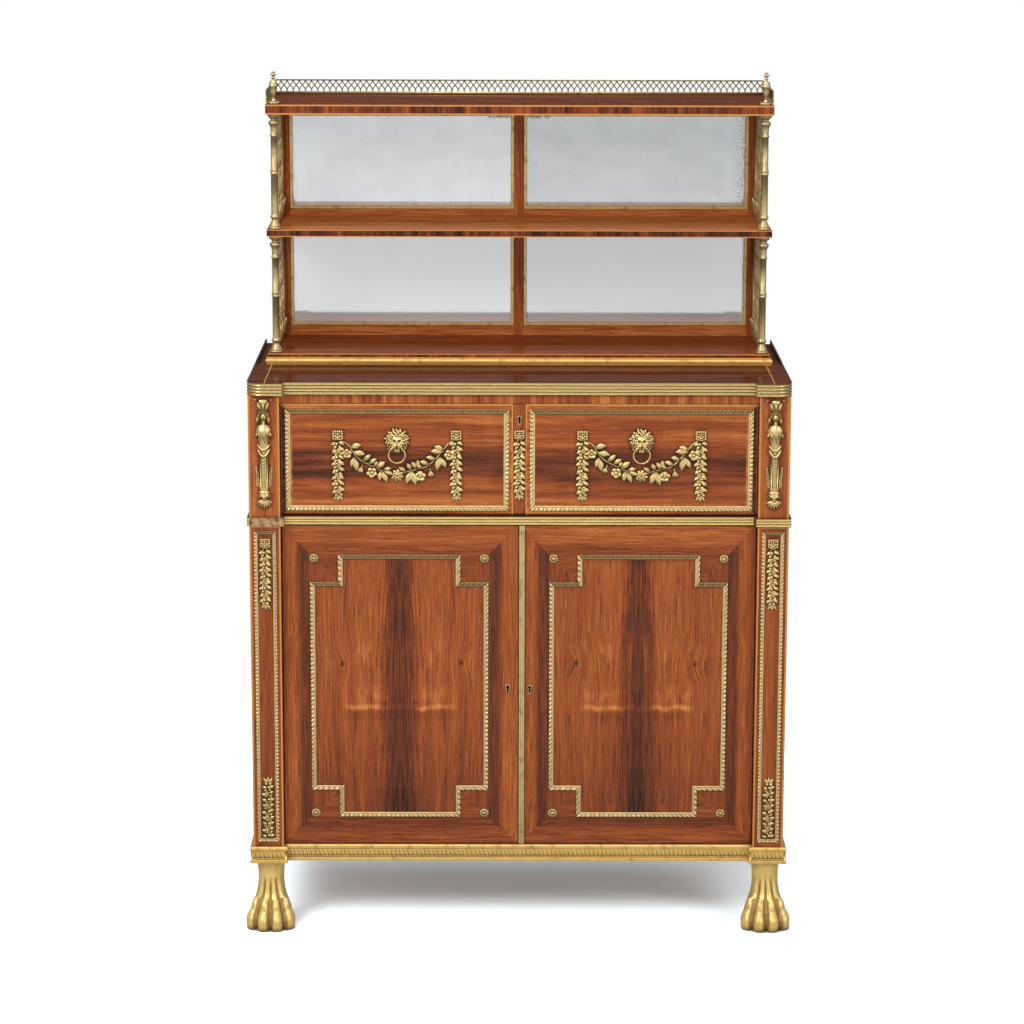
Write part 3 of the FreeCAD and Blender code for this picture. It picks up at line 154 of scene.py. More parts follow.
class Paint(Nodes):
    """One procedural material. Its coordinates are those of the part, in millimetres."""

    def __init__(self, name, **constants):
        self.material = bpy.data.materials.new(name)
        self.material.use_nodes = True
        super().__init__(self.material.node_tree)
        self.shader = self.tree.nodes["Principled BSDF"]
        for socket, number in constants.items():
            self.shader.inputs[socket.replace("_", " ")].default_value = number
        coordinates = self.add("ShaderNodeTexCoord")
        self.x, self.y, self.z = [axis * 1000 for axis in self.split(coordinates.outputs["Object"])]
        self.normal = self.split(coordinates.outputs["Normal"])

    def noise(self, x, y, z, detail=3.0, roughness=0.5):
        place = self.add("ShaderNodeCombineXYZ")
        for socket, value in zip(place.inputs, (x, y, z)):
            self.feed(socket, value)
        node = self.add("ShaderNodeTexNoise")
        self.feed(node.inputs["Vector"], place.outputs[0])
        self.feed(node.inputs["Scale"], 1.0)
        self.feed(node.inputs["Detail"], detail)
        self.feed(node.inputs["Roughness"], roughness)
        return Value(self, node.outputs["Fac"])

    def ramp(self, value, stops):
        node = self.add("ShaderNodeValToRGB")
        self.feed(node.inputs["Fac"], value)
        elements = node.color_ramp.elements
        while len(elements) < len(stops):
            elements.new(1.0)
        for element, (place, colour) in zip(elements, stops):
            element.position = place
            element.color = (*colour, 1)
        return node.outputs["Color"]

    def mix(self, factor, low, high):
        node = self.add("ShaderNodeMix", data_type="RGBA")
        self.feed(node.inputs[0], factor)
        self.feed(node.inputs[6], low)
        self.feed(node.inputs[7], high)
        return node.outputs[2]

    def attribute(self, name):
        node = self.add("ShaderNodeAttribute", attribute_name=name)
        return Value(self, node.outputs["Fac"])

    def colour(self, colour):
        self.feed(self.shader.inputs["Base Color"], colour)

    def rough(self, value):
        self.feed(self.shader.inputs["Roughness"], value)

    def open_air(self, distance):
        """How open a place is: 1 on a free face, less beside or under something that stands on it."""
        node = self.add("ShaderNodeAmbientOcclusion", samples=6)
        self.feed(node.inputs["Distance"], distance * MM)
        return Value(self, node.outputs["AO"])

    def bump(self, height, distance):
        node = self.add("ShaderNodeBump")
        self.feed(node.inputs["Height"], height)
        self.feed(node.inputs["Distance"], distance * MM)
        self.feed(node.inputs["Strength"], 1.0)
        self.feed(self.shader.inputs["Normal"], node.outputs[0])


ROSEWOOD = [(0.0, (0.016, 0.007, 0.005)), (0.22, (0.068, 0.021, 0.012)), (0.42, (0.165, 0.041, 0.016)),
            (0.62, (0.315, 0.073, 0.019)), (0.80, (0.455, 0.128, 0.032)), (1.0, (0.63, 0.245, 0.070))]
CARCASE = [(0.0, (0.05, 0.020, 0.010)), (0.35, (0.145, 0.060, 0.026)), (0.65, (0.235, 0.108, 0.048)),
           (1.0, (0.36, 0.19, 0.095))]
SATINWOOD = [(0.0, (0.20, 0.085, 0.025)), (0.5, (0.46, 0.23, 0.075)), (1.0, (0.66, 0.38, 0.15))]
BOXWOOD = (0.66, 0.30, 0.085)
KEYHOLE_SHADE = (0.004, 0.003, 0.003)
POLISH = {"Specular_IOR_Level": 0.16, "Roughness": 0.24}
DULL = {"Specular_IOR_Level": 0.1, "Roughness": 0.75}
GLOSS = {"Specular_IOR_Level": 0.0, "Roughness": 0.4, "Coat_Weight": 0.17, "Coat_Roughness": 0.04}


class Grain:
    """Long wood grain: broad bands, fine streaks and short dark pores along one coordinate."""

    def __init__(self, paint, along, across, depth, coarse=1.0):
        sway = paint.noise(along / 380, across / 80, depth / 80)
        flow = across + (sway - 0.5) * 26
        self.broad = paint.noise(along / 420, flow / (15 * coarse), depth / 15, 2.0, 0.5) - 0.5
        self.fine = paint.noise(along / 85, flow / (2.5 * coarse), depth / 2.5, 5.0, 0.75) - 0.5
        self.streaks = paint.noise(along / 48, flow / (1.5 * coarse), depth / 1.5 + 40, 1.0).over(0.54, 0.74)
        self.pores = paint.noise(along / 9, flow / 0.9, depth / 0.9, 2.0, 0.6).over(0.54, 0.68)

    def tone(self, broad=0.40, fine=1.10, streak=0.24):
        return self.broad * broad + self.fine * fine - self.pores * 0.10 - self.streaks * streak + 0.075


def wood(name, stops, level, along, constants=POLISH, broad=0.40, fine=1.10, coarse=1.0):
    """A plain piece of wood whose grain runs along one axis."""
    paint = Paint(name, **constants)
    x, y, z = paint.x, paint.y, paint.z
    axes = {"x": (x, z, y), "y": (y, x, z), "z": (z, x, y)}
    grain = Grain(paint, *axes[along], coarse)
    paint.colour(paint.ramp(grain.tone(broad, fine) + level, stops))
    paint.bump(grain.fine - grain.pores, 0.05)
    return paint.material


def strung(paint, grain, tone, string, skin=0.05):
    """Finishes a rosewood veneer that has light strings let into it."""
    colour = paint.ramp(tone, ROSEWOOD)
    paint.colour(paint.mix(string, colour, BOXWOOD))
    paint.bump(grain.fine - grain.pores, skin)
    return paint.material


def keyhole(across, up):
    """The opening of a keyhole, painted dark as the shade inside it, from the distances to its middle."""
    return (across * across / 9 + up * up / 42).less(1)


def dirt_and_painted_shade(paint):
    """Old wax and dirt, together with painted shade, which darken the polish close to the mounts and in the
    corners.
    """
    return (1 - paint.open_air(7).over(0.50, 0.95)) * 0.24


def between(mask, low, high):
    """One of two numbers, chosen by a mask."""
    return low + mask * (high - low)


def door_veneer():
    """Book-matched panel with a dark heart, mitred borders and square corner inserts."""
    paint = Paint("rosewood_door", **POLISH)
    x = abs(paint.x)
    z = paint.z
    near, far = DOOR_FRAME_X
    low, high = DOOR_FRAME_Z
    sides = ((x - 0.75) / 50.2).least((396.7 - x) / 46)
    ends = ((z - 144.5) / 46.5).least((698 - z) / 50)
    inward = sides.least(ends)
    border = inward.less(1)
    corner_x = (x - near).least(far - x)
    corner_z = (z - low).least(high - z)
    insert = corner_x.most(corner_z).less(DOOR_NOTCH) * (1 - border)
    upright = between(border, between(insert, 1, corner_x.less(corner_z)), sides.less(ends))
    middle = abs(x - 200.8)
    knot = 0
    swirl = 0
    for knot_x, knot_z in ((97, 461), (297, 459), (366, 520)):
        distance = ((x - knot_x) * (x - knot_x) + (z - knot_z) * (z - knot_z) * 0.35).math("SQRT")
        swirl = swirl + (1 - distance.over(0, 24)) * 9
        knot = knot + (1 - distance.over(0.8, 4.5))
    lengthwise = Grain(paint, z, middle + swirl, border * 90 + insert * 190 + paint.x.less(0) * 35)
    crosswise = Grain(paint, paint.x, z, border * 60 + insert * 150)
    tone = between(upright, crosswise.tone(), lengthwise.tone())
    heart_width = 52 - (z - low) * 0.045
    drift = paint.noise(z / 70, middle / 16, paint.x.less(0) * 4, 3.0, 0.6) - 0.5
    heart = 1 - (middle + lengthwise.fine * 22 + drift * 34).over(2, heart_width)
    line = 383 + (paint.noise(paint.x / 24, 5.2, 1.7, 2.0) - 0.5) * 16
    reach = (0.3 + 0.7 * middle.over(14, 40)) * (1 - middle.over(74, 104))
    shimmer = paint.noise(paint.x / 9, z / 26, 8.3, 3.0, 0.6).over(0.36, 0.62)
    flame = (z - line).near(0, 8) * reach * (0.5 + shimmer * 0.6)
    glow = (z - line - 22).near(0, 26) * reach * shimmer
    glow = glow + (z - 470).near(0, 40) * middle.near(58, 30) * shimmer
    shade = (z - line + 14).near(0, 16) * reach
    panel = 0.600 - heart * 0.29 + flame * 0.34 + glow * 0.15 - shade * 0.08 - knot * 0.40
    # painted shade: the panel grows darker towards its bottom, where less light falls on it
    panel = panel - (1 - z.over(190, 420)) * 0.13
    band = between(sides.less(ends), 0.670 - z.less(200) * 0.15, 0.620)
    streak = inward.over(0.46, 0.74) * (1 - inward.over(0.93, 1.0) * 0.3)
    band = band - streak * between(sides.less(ends), 0.14, 0.31)
    level = between(border, between(insert, panel, 0.50), band)
    seam = abs(sides - ends).over(0, 0.03)
    level = level - border * (1 - seam) * 0.10 - (1 - abs(inward - 1).over(0, 0.02)) * 0.08 - dirt_and_painted_shade(paint)
    key = keyhole(x - DOOR_KEY[0], z - DOOR_KEY[1])
    colour = paint.ramp(tone + level, ROSEWOOD)
    paint.colour(paint.mix(key, colour, KEYHOLE_SHADE))
    paint.bump(lengthwise.fine - lengthwise.pores, 0.05)
    return paint.material


def fall_veneer():
    """Two long panels with a dark band, orange margins and a keyed middle stile between light strings."""
    paint = Paint("rosewood_fall", **POLISH)
    x = abs(paint.x)
    z = paint.z
    stile = x.less(10.6)
    string = x.within(10.6, 12.3) + z.within(901.0, 905) * (1 - stile)
    margin = (x.less(24) + (378 - x).less(0) + z.less(729) + (883 - z).less(0)).least(1)
    panel = Grain(paint, paint.x, z, margin * 80 + paint.x.less(0) * 31)
    upright = Grain(paint, z, paint.x, 40)
    drift = paint.noise(paint.x / 120, z / 24, paint.x.less(0) * 5, 3.0, 0.6) - 0.5
    dark = 1 - abs(z - 799 + panel.fine * 26 + drift * 62).over(4, 46)
    ends = 0.72 + abs(x - 203).over(60, 180) * 0.28
    flame = paint.noise(paint.x / 34, z / 90, paint.x.less(0) * 9 + 2, 2.0).over(0.5, 0.75)
    ground = 0.655 - dark * 0.37 * ends + flame * 0.06
    tone = between(stile, panel.tone(0.9, 0.70, 0.13) - 0.03, upright.tone())
    side_margin = (396.7 - x).less((z - 714.7).least(903.5 - z)) * x.over(388, 389)
    # painted highlight: a pale line along the fall's edge, mixed in with the light strings
    string = string + x.within(395.3, 396.5) * 0.4
    level = between(stile, between(margin, ground, 0.79 - side_margin * 0.50), 0.56) - dirt_and_painted_shade(paint)
    key = keyhole(x, z - FALL_KEY_Z)
    colour = paint.ramp(tone + level, ROSEWOOD)
    colour = paint.mix(string.least(1), colour, BOXWOOD)
    paint.colour(paint.mix(key, colour, KEYHOLE_SHADE))
    paint.bump(panel.fine - panel.pores, 0.05)
    return paint.material


def pilaster_veneer():
    """Upright grain, redder below and light orange above, with light strings along the edges."""
    paint = Paint("rosewood_pilaster", **POLISH)
    x = abs(paint.x)
    z = paint.z
    grain = Grain(paint, z, paint.x, paint.y)
    upper = z.over(706, 707)
    inner = x.within(409, 439) * z.within(155, 688)
    level = between(upper, between(inner, 0.60, 0.53), 0.68) - dirt_and_painted_shade(paint)
    edge = x.within(398.4, 401.0) + x.within(447.0, 449.6) + z.within(696.4, 699)
    front = paint.normal[1].less(-0.5)
    return strung(paint, grain, grain.tone(0.6, 0.5) + level, edge.least(1) * front * 0.85)


def side_veneer():
    """Case sides: upright grain inside a light string."""
    paint = Paint("rosewood_side", **POLISH)
    grain = Grain(paint, paint.z, paint.y, paint.x / 20)
    y_edge = (paint.y + 170.5).least(233.5 - paint.y)
    z_edge = (paint.z - 143).least(920 - paint.z).least(abs(paint.z - 706) - 6)
    inset = y_edge.least(z_edge)
    string = inset.within(26, 28.2)
    level = between(inset.less(26), 0.62, 0.54)
    outside = abs(paint.normal[0]).over(0.4, 0.6) * abs(paint.x).over(445, 447)
    return strung(paint, grain, grain.tone() + level, string * outside * 0.85)


def shelf_veneer(name, low, high, level, line=2.0, edge=0.38):
    """Glossy top with long grain; cross-banded edges between light strings."""
    paint = Paint(name, **GLOSS)
    face = abs(paint.normal[2]).over(0.5, 0.6)
    banding = Grain(paint, paint.z, paint.x + paint.y, 7)
    top = Grain(paint, paint.x, paint.y, 5)
    tone = between(face, banding.tone(1.1, 0.9) + edge, top.tone() + level)
    string = paint.z.within(low - 1, low + line) + paint.z.within(high - line, high + 1)
    return strung(paint, top, tone, string.least(1) * (1 - face) * 0.92, 0.04)


def top_veneer():
    """The main top: dark glossy rosewood with a light string along each end."""
    paint = Paint("rosewood_top", **GLOSS)
    grain = Grain(paint, paint.x, paint.y, 3)
    string = abs(paint.x).within(421.5, 423.2)
    return strung(paint, grain, grain.tone() + 0.25, string * 0.8, 0.04)


def mirror_wood():
    """Stiles and rails round the mirrors, in dark red rosewood."""
    paint = Paint("rosewood_mirror_frame", **POLISH)
    x = abs(paint.x)
    rail = x.within(8, 402.5)
    upright = Grain(paint, paint.z, paint.x, 2)
    level_grain = Grain(paint, paint.x, paint.z, 9)
    tone = between(rail, upright.tone() + 0.66, level_grain.tone() + 0.77)
    colour = paint.ramp(tone, ROSEWOOD)
    boards = paint.ramp(level_grain.tone(0.7, 0.8) + 0.50, CARCASE)
    paint.colour(paint.mix(paint.normal[1].over(0.5, 0.6), colour, boards))
    paint.bump(upright.fine, 0.05)
    return paint.material


def drawer_wood():
    """A small drawer: satinwood front with a dark edge line, plain lining, brass knob."""
    paint = Paint("satinwood_drawer", Roughness=0.36, Coat_Weight=0.25, Coat_Roughness=0.12)
    front = (38.6 - paint.y).over(-0.1, 0.1)
    knob = (33.9 - paint.y).over(-0.1, 0.1)
    grain = Grain(paint, paint.x, paint.z, paint.y / 10)
    satin = paint.ramp(grain.tone(0.7, 0.5) + 0.55, SATINWOOD)
    lining = paint.ramp(grain.tone(0.7, 0.5) + 0.55, CARCASE)
    colour = paint.mix(front, lining, satin)
    paint.colour(paint.mix(knob, colour, (0.68, 0.48, 0.19)))
    paint.feed(paint.shader.inputs["Metallic"], knob)
    paint.bump(grain.fine - grain.pores, 0.04)
    return paint.material


def bare_core():
    """The wooden core left bare where the brass moulding is lost: dry wood with old glue and dark stains."""
    paint = Paint("bare_core_wood", Roughness=0.85)
    grain = Grain(paint, paint.x, paint.z, paint.y)
    stain = paint.noise(paint.x / 11, paint.y / 7, paint.z / 9, 4.0, 0.65)
    colour = paint.ramp(grain.tone(0.8, 0.7) + 0.85, CARCASE)
    colour = paint.mix(stain.over(0.44, 0.56), colour, (0.52, 0.30, 0.115))
    paint.colour(paint.mix((1 - stain).over(0.56, 0.66), colour, (0.035, 0.022, 0.018)))
    paint.bump(stain + grain.fine, 0.5)
    return paint.material


def gilt(name, bright, dark, rough=0.27, worn=0.5, relief=False, patina=0.6, skin=0.10, metal=0.80):
    """Gilt bronze: bright where it stands out, brown and dull in the hollows as patina and painted shade,
    darker as painted shade where it faces down, with a lightly cast skin.
    """
    paint = Paint(name, Metallic=metal)
    x, y, z = paint.x, paint.y, paint.z
    cloud = paint.noise(x / 14, y / 14, z / 14, 4.0, 0.6)
    speck = paint.noise(x / 1.6, y / 1.6, z / 1.6, 2.0)
    shine = 0.9 + (cloud - 0.5) * worn
    if relief:
        height = paint.attribute("relief") + (cloud - 0.5) * 0.35 + (speck - 0.5) * 0.35
        shine = shine * (1 - patina + height.over(0.08, 0.62) * patina)
        # painted shade: darker where the mount is hemmed in by its own parts or by the face behind it
        shine = shine * (0.22 + 0.78 * paint.open_air(4).over(0.30, 0.92))
        # painted shade: faces that look down are darkened
        shine = shine * (1 - (0 - paint.normal[2]).over(0.05, 0.45) * 0.66)
    else:
        shine = shine * (1 - patina + cloud.over(0.30, 0.48) * patina)
    paint.colour(paint.mix(shine, dark, bright))
    paint.rough(rough + (1 - shine) * 0.30 + (speck - 0.5) * 0.12)
    paint.bump(speck * 0.6 + cloud, skin)
    return paint.material


def reeded_brass(name, bright, start, step, stop):
    """Lacquered brass reeding, darker in the grooves; what stands above the reeds is nearly black."""
    paint = Paint(name, Metallic=0.68)
    place = (paint.z - start) / step
    groove = abs(place - place.math("ROUND"))
    cloud = paint.noise(paint.x / 22, paint.y / 22, paint.z / 5, 4.0, 0.6)
    spot = paint.noise(paint.x / 2.4, paint.y / 2.4, paint.z / 2.0, 2.0).over(0.66, 0.74)
    reed_brightness = groove.over(0.03, 0.20) * (0.72 + cloud * 0.5) * (1 - spot * 0.5)
    colour = paint.mix(reed_brightness, (0.085, 0.052, 0.018), bright)
    above = paint.z.over(stop + 0.2, stop + 0.6)
    paint.colour(paint.mix(above, colour, (0.05, 0.038, 0.022)))
    paint.rough(0.24 + (1 - reed_brightness) * 0.3)
    paint.bump(cloud, 0.15)
    return paint.material


def old_mirror():
    """Old silvered glass: cloudy, with foxing at the edges and scattered black specks."""
    paint = Paint("old_mirror", Metallic=0.46)
    x, z = paint.x, paint.z
    upper = z.over(1160, 1165)
    cloud = paint.noise(x / 60, 4.0, z / 38, 5.0, 0.62)
    mist = paint.noise(x / 16, 7.0, z / 14, 4.0, 0.65)
    edge_x = (402.5 - abs(x)).least(abs(x) - 8)
    edge_low = z - between(upper, 977, 1183)
    edge_high = between(upper, 1145.5, 1352) - z
    edge = edge_x.least(edge_low).least(edge_high)
    fox = paint.noise(x / 9, 2.0, z / 8, 4.0, 0.7)
    foxing = fox.over(0.60, 0.66) * (1 - edge.over(3, 11))
    # painted shade: a dark band along the lower edge of each glass, beside the bead
    line = (1 - edge_low.over(4.5, 8 + (mist - 0.5) * 9)) * 0.8
    speck = paint.noise(x / 4.5, 9.0, z / 4.5, 1.0).over(0.80, 0.83)
    haze = between(upper, 0.0, 0.08) + x.over(-20, 20) * between(upper, 0.15, 0.25)
    level = 1 - haze - (cloud - 0.5) * between(upper, 0.10, 0.40) - (mist - 0.5) * 0.12 * upper
    colour = paint.mix(level, (0.29, 0.33, 0.33), (0.90, 0.955, 0.985))
    sprinkle = paint.noise(x / 2.6, 3.0, z / 2.6, 2.0, 0.6).over(0.53, 0.60)
    sprinkle = sprinkle * upper * (x.over(368, 402) * 0.9 + (1 - x.over(-402, -386)) * 0.5)
    blot = fox.over(0.42, 0.52) * (1 - edge_high.over(5, 12)) * abs(abs(x) - 30).less(24) * upper
    flaws_and_painted_shade = foxing.most(line).most(speck).most(sprinkle).most(blot)
    paint.colour(paint.mix(flaws_and_painted_shade.least(1), colour, (0.055, 0.052, 0.046)))
    paint.rough(0.04 + flaws_and_painted_shade * 0.3)
    return paint.material


def leather(name, box):
    """Tooled leather: pebbled green hide with a double gilt line inside its edge."""
    paint = Paint(name, Coat_Weight=0.15, Coat_Roughness=0.3)
    (x0, y0, z0), (x1, y1, z1) = box
    upright = z1 - z0 > y1 - y0
    inner = (paint.x - x0).least(x1 - paint.x)
    second, low, high = (paint.z, z0, z1) if upright else (paint.y, y0, y1)
    inset = inner.least(second - low).least(high - second)
    cells = paint.add("ShaderNodeTexVoronoi", feature="DISTANCE_TO_EDGE")
    place = paint.add("ShaderNodeCombineXYZ")
    for socket, axis in zip(place.inputs, (paint.x, paint.y, paint.z)):
        paint.feed(socket, axis / 1.5)
    paint.feed(cells.inputs["Vector"], place.outputs[0])
    pebble = Value(paint, cells.outputs["Distance"])
    age = paint.noise(paint.x / 60, paint.y / 60, paint.z / 60, 4.0, 0.6)
    hide = paint.ramp(age + pebble * 0.3, [(0.2, (0.012, 0.034, 0.020)), (0.8, (0.040, 0.085, 0.050))])
    line = inset.within(9, 11) + inset.within(13.5, 14.3)
    paint.colour(paint.mix(line.least(1), hide, (0.62, 0.42, 0.14)))
    paint.feed(paint.shader.inputs["Metallic"], line.least(1))
    paint.rough(0.55 - line * 0.2)
    paint.bump(pebble.over(0, 0.3), 0.12)
    return paint.material


def steel():
    """Worn dark steel of the pivots."""
    paint = Paint("worn_steel", Metallic=1.0)
    scratch = paint.noise(paint.x / 0.6, paint.y / 6, paint.z / 6, 3.0)
    paint.colour(paint.ramp(scratch, [(0.3, (0.22, 0.22, 0.22)), (0.7, (0.46, 0.45, 0.43))]))
    paint.rough(0.3 + scratch * 0.2)
    return paint.material


GOLD = (0.88, 0.66, 0.285)
GOLD_DARK = (0.11, 0.058, 0.014)
WARM_GOLD = (0.86, 0.56, 0.160)
WARM_DARK = (0.20, 0.100, 0.028)
BRASS = (0.62, 0.48, 0.23)
BRASS_DARK = (0.12, 0.085, 0.035)

cast_gilt = gilt("gilt_mounts", GOLD, GOLD_DARK, 0.33, relief=True, patina=0.90, metal=0.88)
frame_gilt = gilt("gilt_frames", (0.82, 0.60, 0.285), (0.17, 0.085, 0.024), 0.36,
                  relief=True, patina=0.72)
paw_gilt = gilt("gilt_paws", (0.98, 0.71, 0.235), (0.25, 0.115, 0.028), 0.28,
                worn=0.8, relief=True, patina=0.80, skin=0.03, metal=0.36)
leaf_gilt = gilt("gilt_leaf_band", (0.98, 0.65, 0.20), WARM_DARK, 0.30, relief=True, patina=0.78, metal=0.5)
plain_gilt = gilt("gilt_plain", WARM_GOLD, WARM_DARK, 0.40, patina=0.35, metal=0.45)
bead_gilt = gilt("gilt_mirror_bead", (0.86, 0.64, 0.27), (0.24, 0.15, 0.05), 0.32, patina=0.5, metal=0.6)
brass = gilt("lacquered_brass", BRASS, BRASS_DARK, 0.36, patina=0.5, metal=0.7)
cast_brass = gilt("lacquered_brass_cast", BRASS, BRASS_DARK, 0.38, relief=True, patina=0.7, metal=0.7)
strip_brass = gilt("brass_meeting_strip", (0.78, 0.62, 0.30), (0.16, 0.11, 0.04), 0.25, patina=0.4)
gallery_brass = gilt("lacquered_brass_gallery", (0.31, 0.25, 0.115), (0.05, 0.038, 0.015), 0.36,
                     patina=0.5)

# Mesh building


def grid(rows, columns, wrap=False):
    """Faces of a grid of points, closed across the columns when it wraps."""
    faces = []
    for row in range(rows - 1):
        for column in range(columns if wrap else columns - 1):
            beside = (column + 1) % columns
            faces.append((row * columns + column, (row + 1) * columns + column,
                          (row + 1) * columns + beside, row * columns + beside))
    return faces


def flipped(faces):
    return [tuple(reversed(face)) for face in faces]


def stack(a, b, out):
    return np.stack([np.ravel(a), np.ravel(b), np.ravel(out)], axis=1)


def spread(rows, columns):
    """Every pair of a row's value and a column's value, as two grids."""
    return np.meshgrid(rows, columns, indexing="ij")


def circle(sides):
    return np.linspace(0, 2 * math.pi, sides, endpoint=False)


def ease(value, low, high):
    """A smooth step from 0 at low to 1 at high."""
    share = np.clip((value - low) / (high - low), 0, 1)
    return share * share * (3 - 2 * share)


class Casting:
    """Gathers small shapes, in millimetres, into one mesh that remembers how far each point stands out."""

    def __init__(self):
        self.points = []
        self.faces = []
        self.relief = []
        self.count = 0

    def add(self, shape, move=None):
        points, faces, relief = shape
        points = points if move is None else move(points)
        self.points.append(points)
        self.faces += [tuple(number + self.count for number in face) for face in faces]
        self.relief.append(np.broadcast_to(np.ravel(relief), (len(points),)))
        self.count += len(points)

    def lay(self, shape, move, a, b, turn=0.0, lift=0.0):
        """Adds a shape at a place within the plane of a larger one."""
        self.add(shape, within(move, in_relief(a, b, turn, lift)))

    def piece(self, name, material, body, replaces=()):
        mesh = bpy.data.meshes.new(name)
        mesh.from_pydata((np.concatenate(self.points) * MM).tolist(), [], self.faces)
        relief = mesh.attributes.new("relief", "FLOAT", "POINT")
        relief.data.foreach_set("value", np.concatenate(self.relief))
        mesh.polygons.foreach_set("use_smooth", [True] * len(mesh.polygons))
        mesh.materials.append(material)
        mesh.update()
        item = bpy.data.objects.new(name, mesh)
        bpy.context.scene.collection.objects.link(item)
        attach(item, body)
        for cad_node in replaces:
            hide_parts(cad_node)


def on_front(x, y, z, turn=0.0):
    """Moves a relief shape (right, up, out) onto a face that looks to the front."""
    cosine, sine = math.cos(math.radians(turn)), math.sin(math.radians(turn))

    def move(points):
        a, b, out = points.T
        return stack(x + a * cosine - b * sine, y - out, z + a * sine + b * cosine)
    return move


def within(outer, inner):
    """Moves a shape inside another shape's own frame first."""
    return lambda points: outer(inner(points))


def in_relief(a, b, turn=0.0, lift=0.0):
    """Moves a relief shape inside the plane of a larger one."""
    cosine, sine = math.cos(math.radians(turn)), math.sin(math.radians(turn))

    def move(points):
        u, v, out = points.T
        return stack(a + u * cosine - v * sine, b + u * sine + v * cosine, out + lift)
    return move


def leaf(long, wide, rise, tip=0.0):
    """A pointed leaf with a sunk vein, lying along its own axis."""
    along = np.linspace(0, 1, 9)
    across = np.array([-1, -1, -0.62, -0.25, 0, 0.25, 0.62, 1, 1])
    u, v = spread(along, across)
    half = wide / 2 * (0.10 + 0.90 * np.sin(math.pi * np.clip(u, 0, 1) ** 1.15))
    half = half * (1 - ease(u, 0.93, 1.0) * 0.6)
    vein = np.exp(-(v / 0.18) ** 2) * (1 - u)
    crown = rise * (0.45 + 0.55 * np.sin(math.pi * np.clip(u * 0.95 + 0.05, 0, 1))) + tip * u * u
    out = crown * (1 - 0.6 * v * v) - 0.42 * rise * vein
    skirt = np.zeros_like(out, bool)
    skirt[:, [0, -1]] = True
    relief = np.where(skirt, 0, 0.22 + 0.30 * (1 - np.abs(v)) + 0.5 * u - 0.45 * vein)
    out = np.where(skirt, 0, out)
    return stack(u * long, -v * half, out), grid(9, 9), relief


def disc(reach, angle, out, relief):
    """A round relief from the reach, angle and height of each point."""
    points = stack(reach * np.cos(angle), reach * np.sin(angle), out)
    return points, grid(*angle.shape, True), relief


def flower(radius, petals, rise, heart=0.28):
    """An open flower with rounded petals and a raised heart."""
    share = np.array([0, 0.10, 0.20, heart, heart + 0.06, 0.48, 0.66, 0.84, 0.96, 1.0, 1.0])
    r, t = spread(share, circle(petals * 8))
    lobe = np.abs(np.cos(petals * t / 2)) ** 0.6
    reach = radius * r * (1 - 0.24 * (1 - lobe) * ease(r, 0.4, 1))
    heart_dome = 0.55 + 0.45 * np.sqrt(np.clip(1 - (r / heart) ** 2, 0, 1))
    cup = 0.34 + 0.50 * np.sin(math.pi * np.clip((r - heart) / (1 - heart) * 0.85, 0, 1))
    cup = cup - 0.30 * (1 - lobe) * r
    out = np.where(r <= heart, heart_dome, cup)
    relief = np.where(r <= heart, 0.4 + 0.6 * heart_dome, cup * 1.25)
    out[-1] = 0
    relief[-1] = 0
    return disc(reach, t, out * rise, relief)


def boss(radius, petals, rise):
    """A round rosette: button, ring of petals and a scalloped rim."""
    share = np.array([0, 0.12, 0.22, 0.30, 0.36, 0.50, 0.66, 0.80, 0.90, 0.98, 1.0])
    r, t = spread(share, circle(petals * 6))
    lobe = np.abs(np.cos(petals * t / 2))
    button = 0.65 + 0.35 * np.sqrt(np.clip(1 - (r / 0.31) ** 2, 0, 1))
    petal = (0.46 + 0.40 * np.sin(math.pi * np.clip((r - 0.3) / 0.7, 0, 1))) * (0.34 + 0.66 * lobe)
    out = np.where(r < 0.31, button, petal)
    relief = np.where(r < 0.31, button, petal * 1.5 - 0.15)
    out[-1] = 0
    relief[-1] = 0.1
    reach = radius * r * (1 - 0.07 * (1 - lobe) * ease(r, 0.6, 1))
    return disc(reach, t, out * rise, relief)


def dome(half_a, half_b, out, sides=20, rings=7):
    """Half of a ball that swells out of a face."""
    p, t = spread(np.linspace(0, math.pi / 2, rings), circle(sides))
    shape = stack(half_a * np.sin(p) * np.cos(t), half_b * np.sin(p) * np.sin(t), out * np.cos(p))
    return shape, grid(rings, sides, True), 0.25 + 0.75 * np.cos(p)


def tube(path, radius, sides=8, closed=False):
    """A round rod along a path of points; the radius may change along it."""
    path = np.asarray(path, float)
    count = len(path)
    radius = np.broadcast_to(radius, (count,))
    if closed:
        tangent = np.roll(path, -1, 0) - np.roll(path, 1, 0)
    else:
        tangent = np.gradient(path, axis=0)
    tangent /= np.linalg.norm(tangent, axis=1)[:, None]
    up = np.array([0.0, 0.0, 1.0]) if abs(tangent[:, 2]).max() < 0.95 else np.array([0.31, 0.95, 0.0])
    side = np.cross(tangent, up)
    side /= np.linalg.norm(side, axis=1)[:, None]
    lift = np.cross(side, tangent)
    angle = circle(sides)
    rim = side[:, None] * np.cos(angle)[None, :, None] + lift[:, None] * np.sin(angle)[None, :, None]
    points = (path[:, None] + rim * radius[:, None, None]).reshape(-1, 3)
    faces = flipped(grid(count, sides, True))
    if closed:
        last = (count - 1) * sides
        faces += [(last + (k + 1) % sides, (k + 1) % sides, k, last + k) for k in range(sides)]
    else:
        faces += [tuple(range(sides)), tuple(reversed(range((count - 1) * sides, count * sides)))]
    return points, faces, 0.8


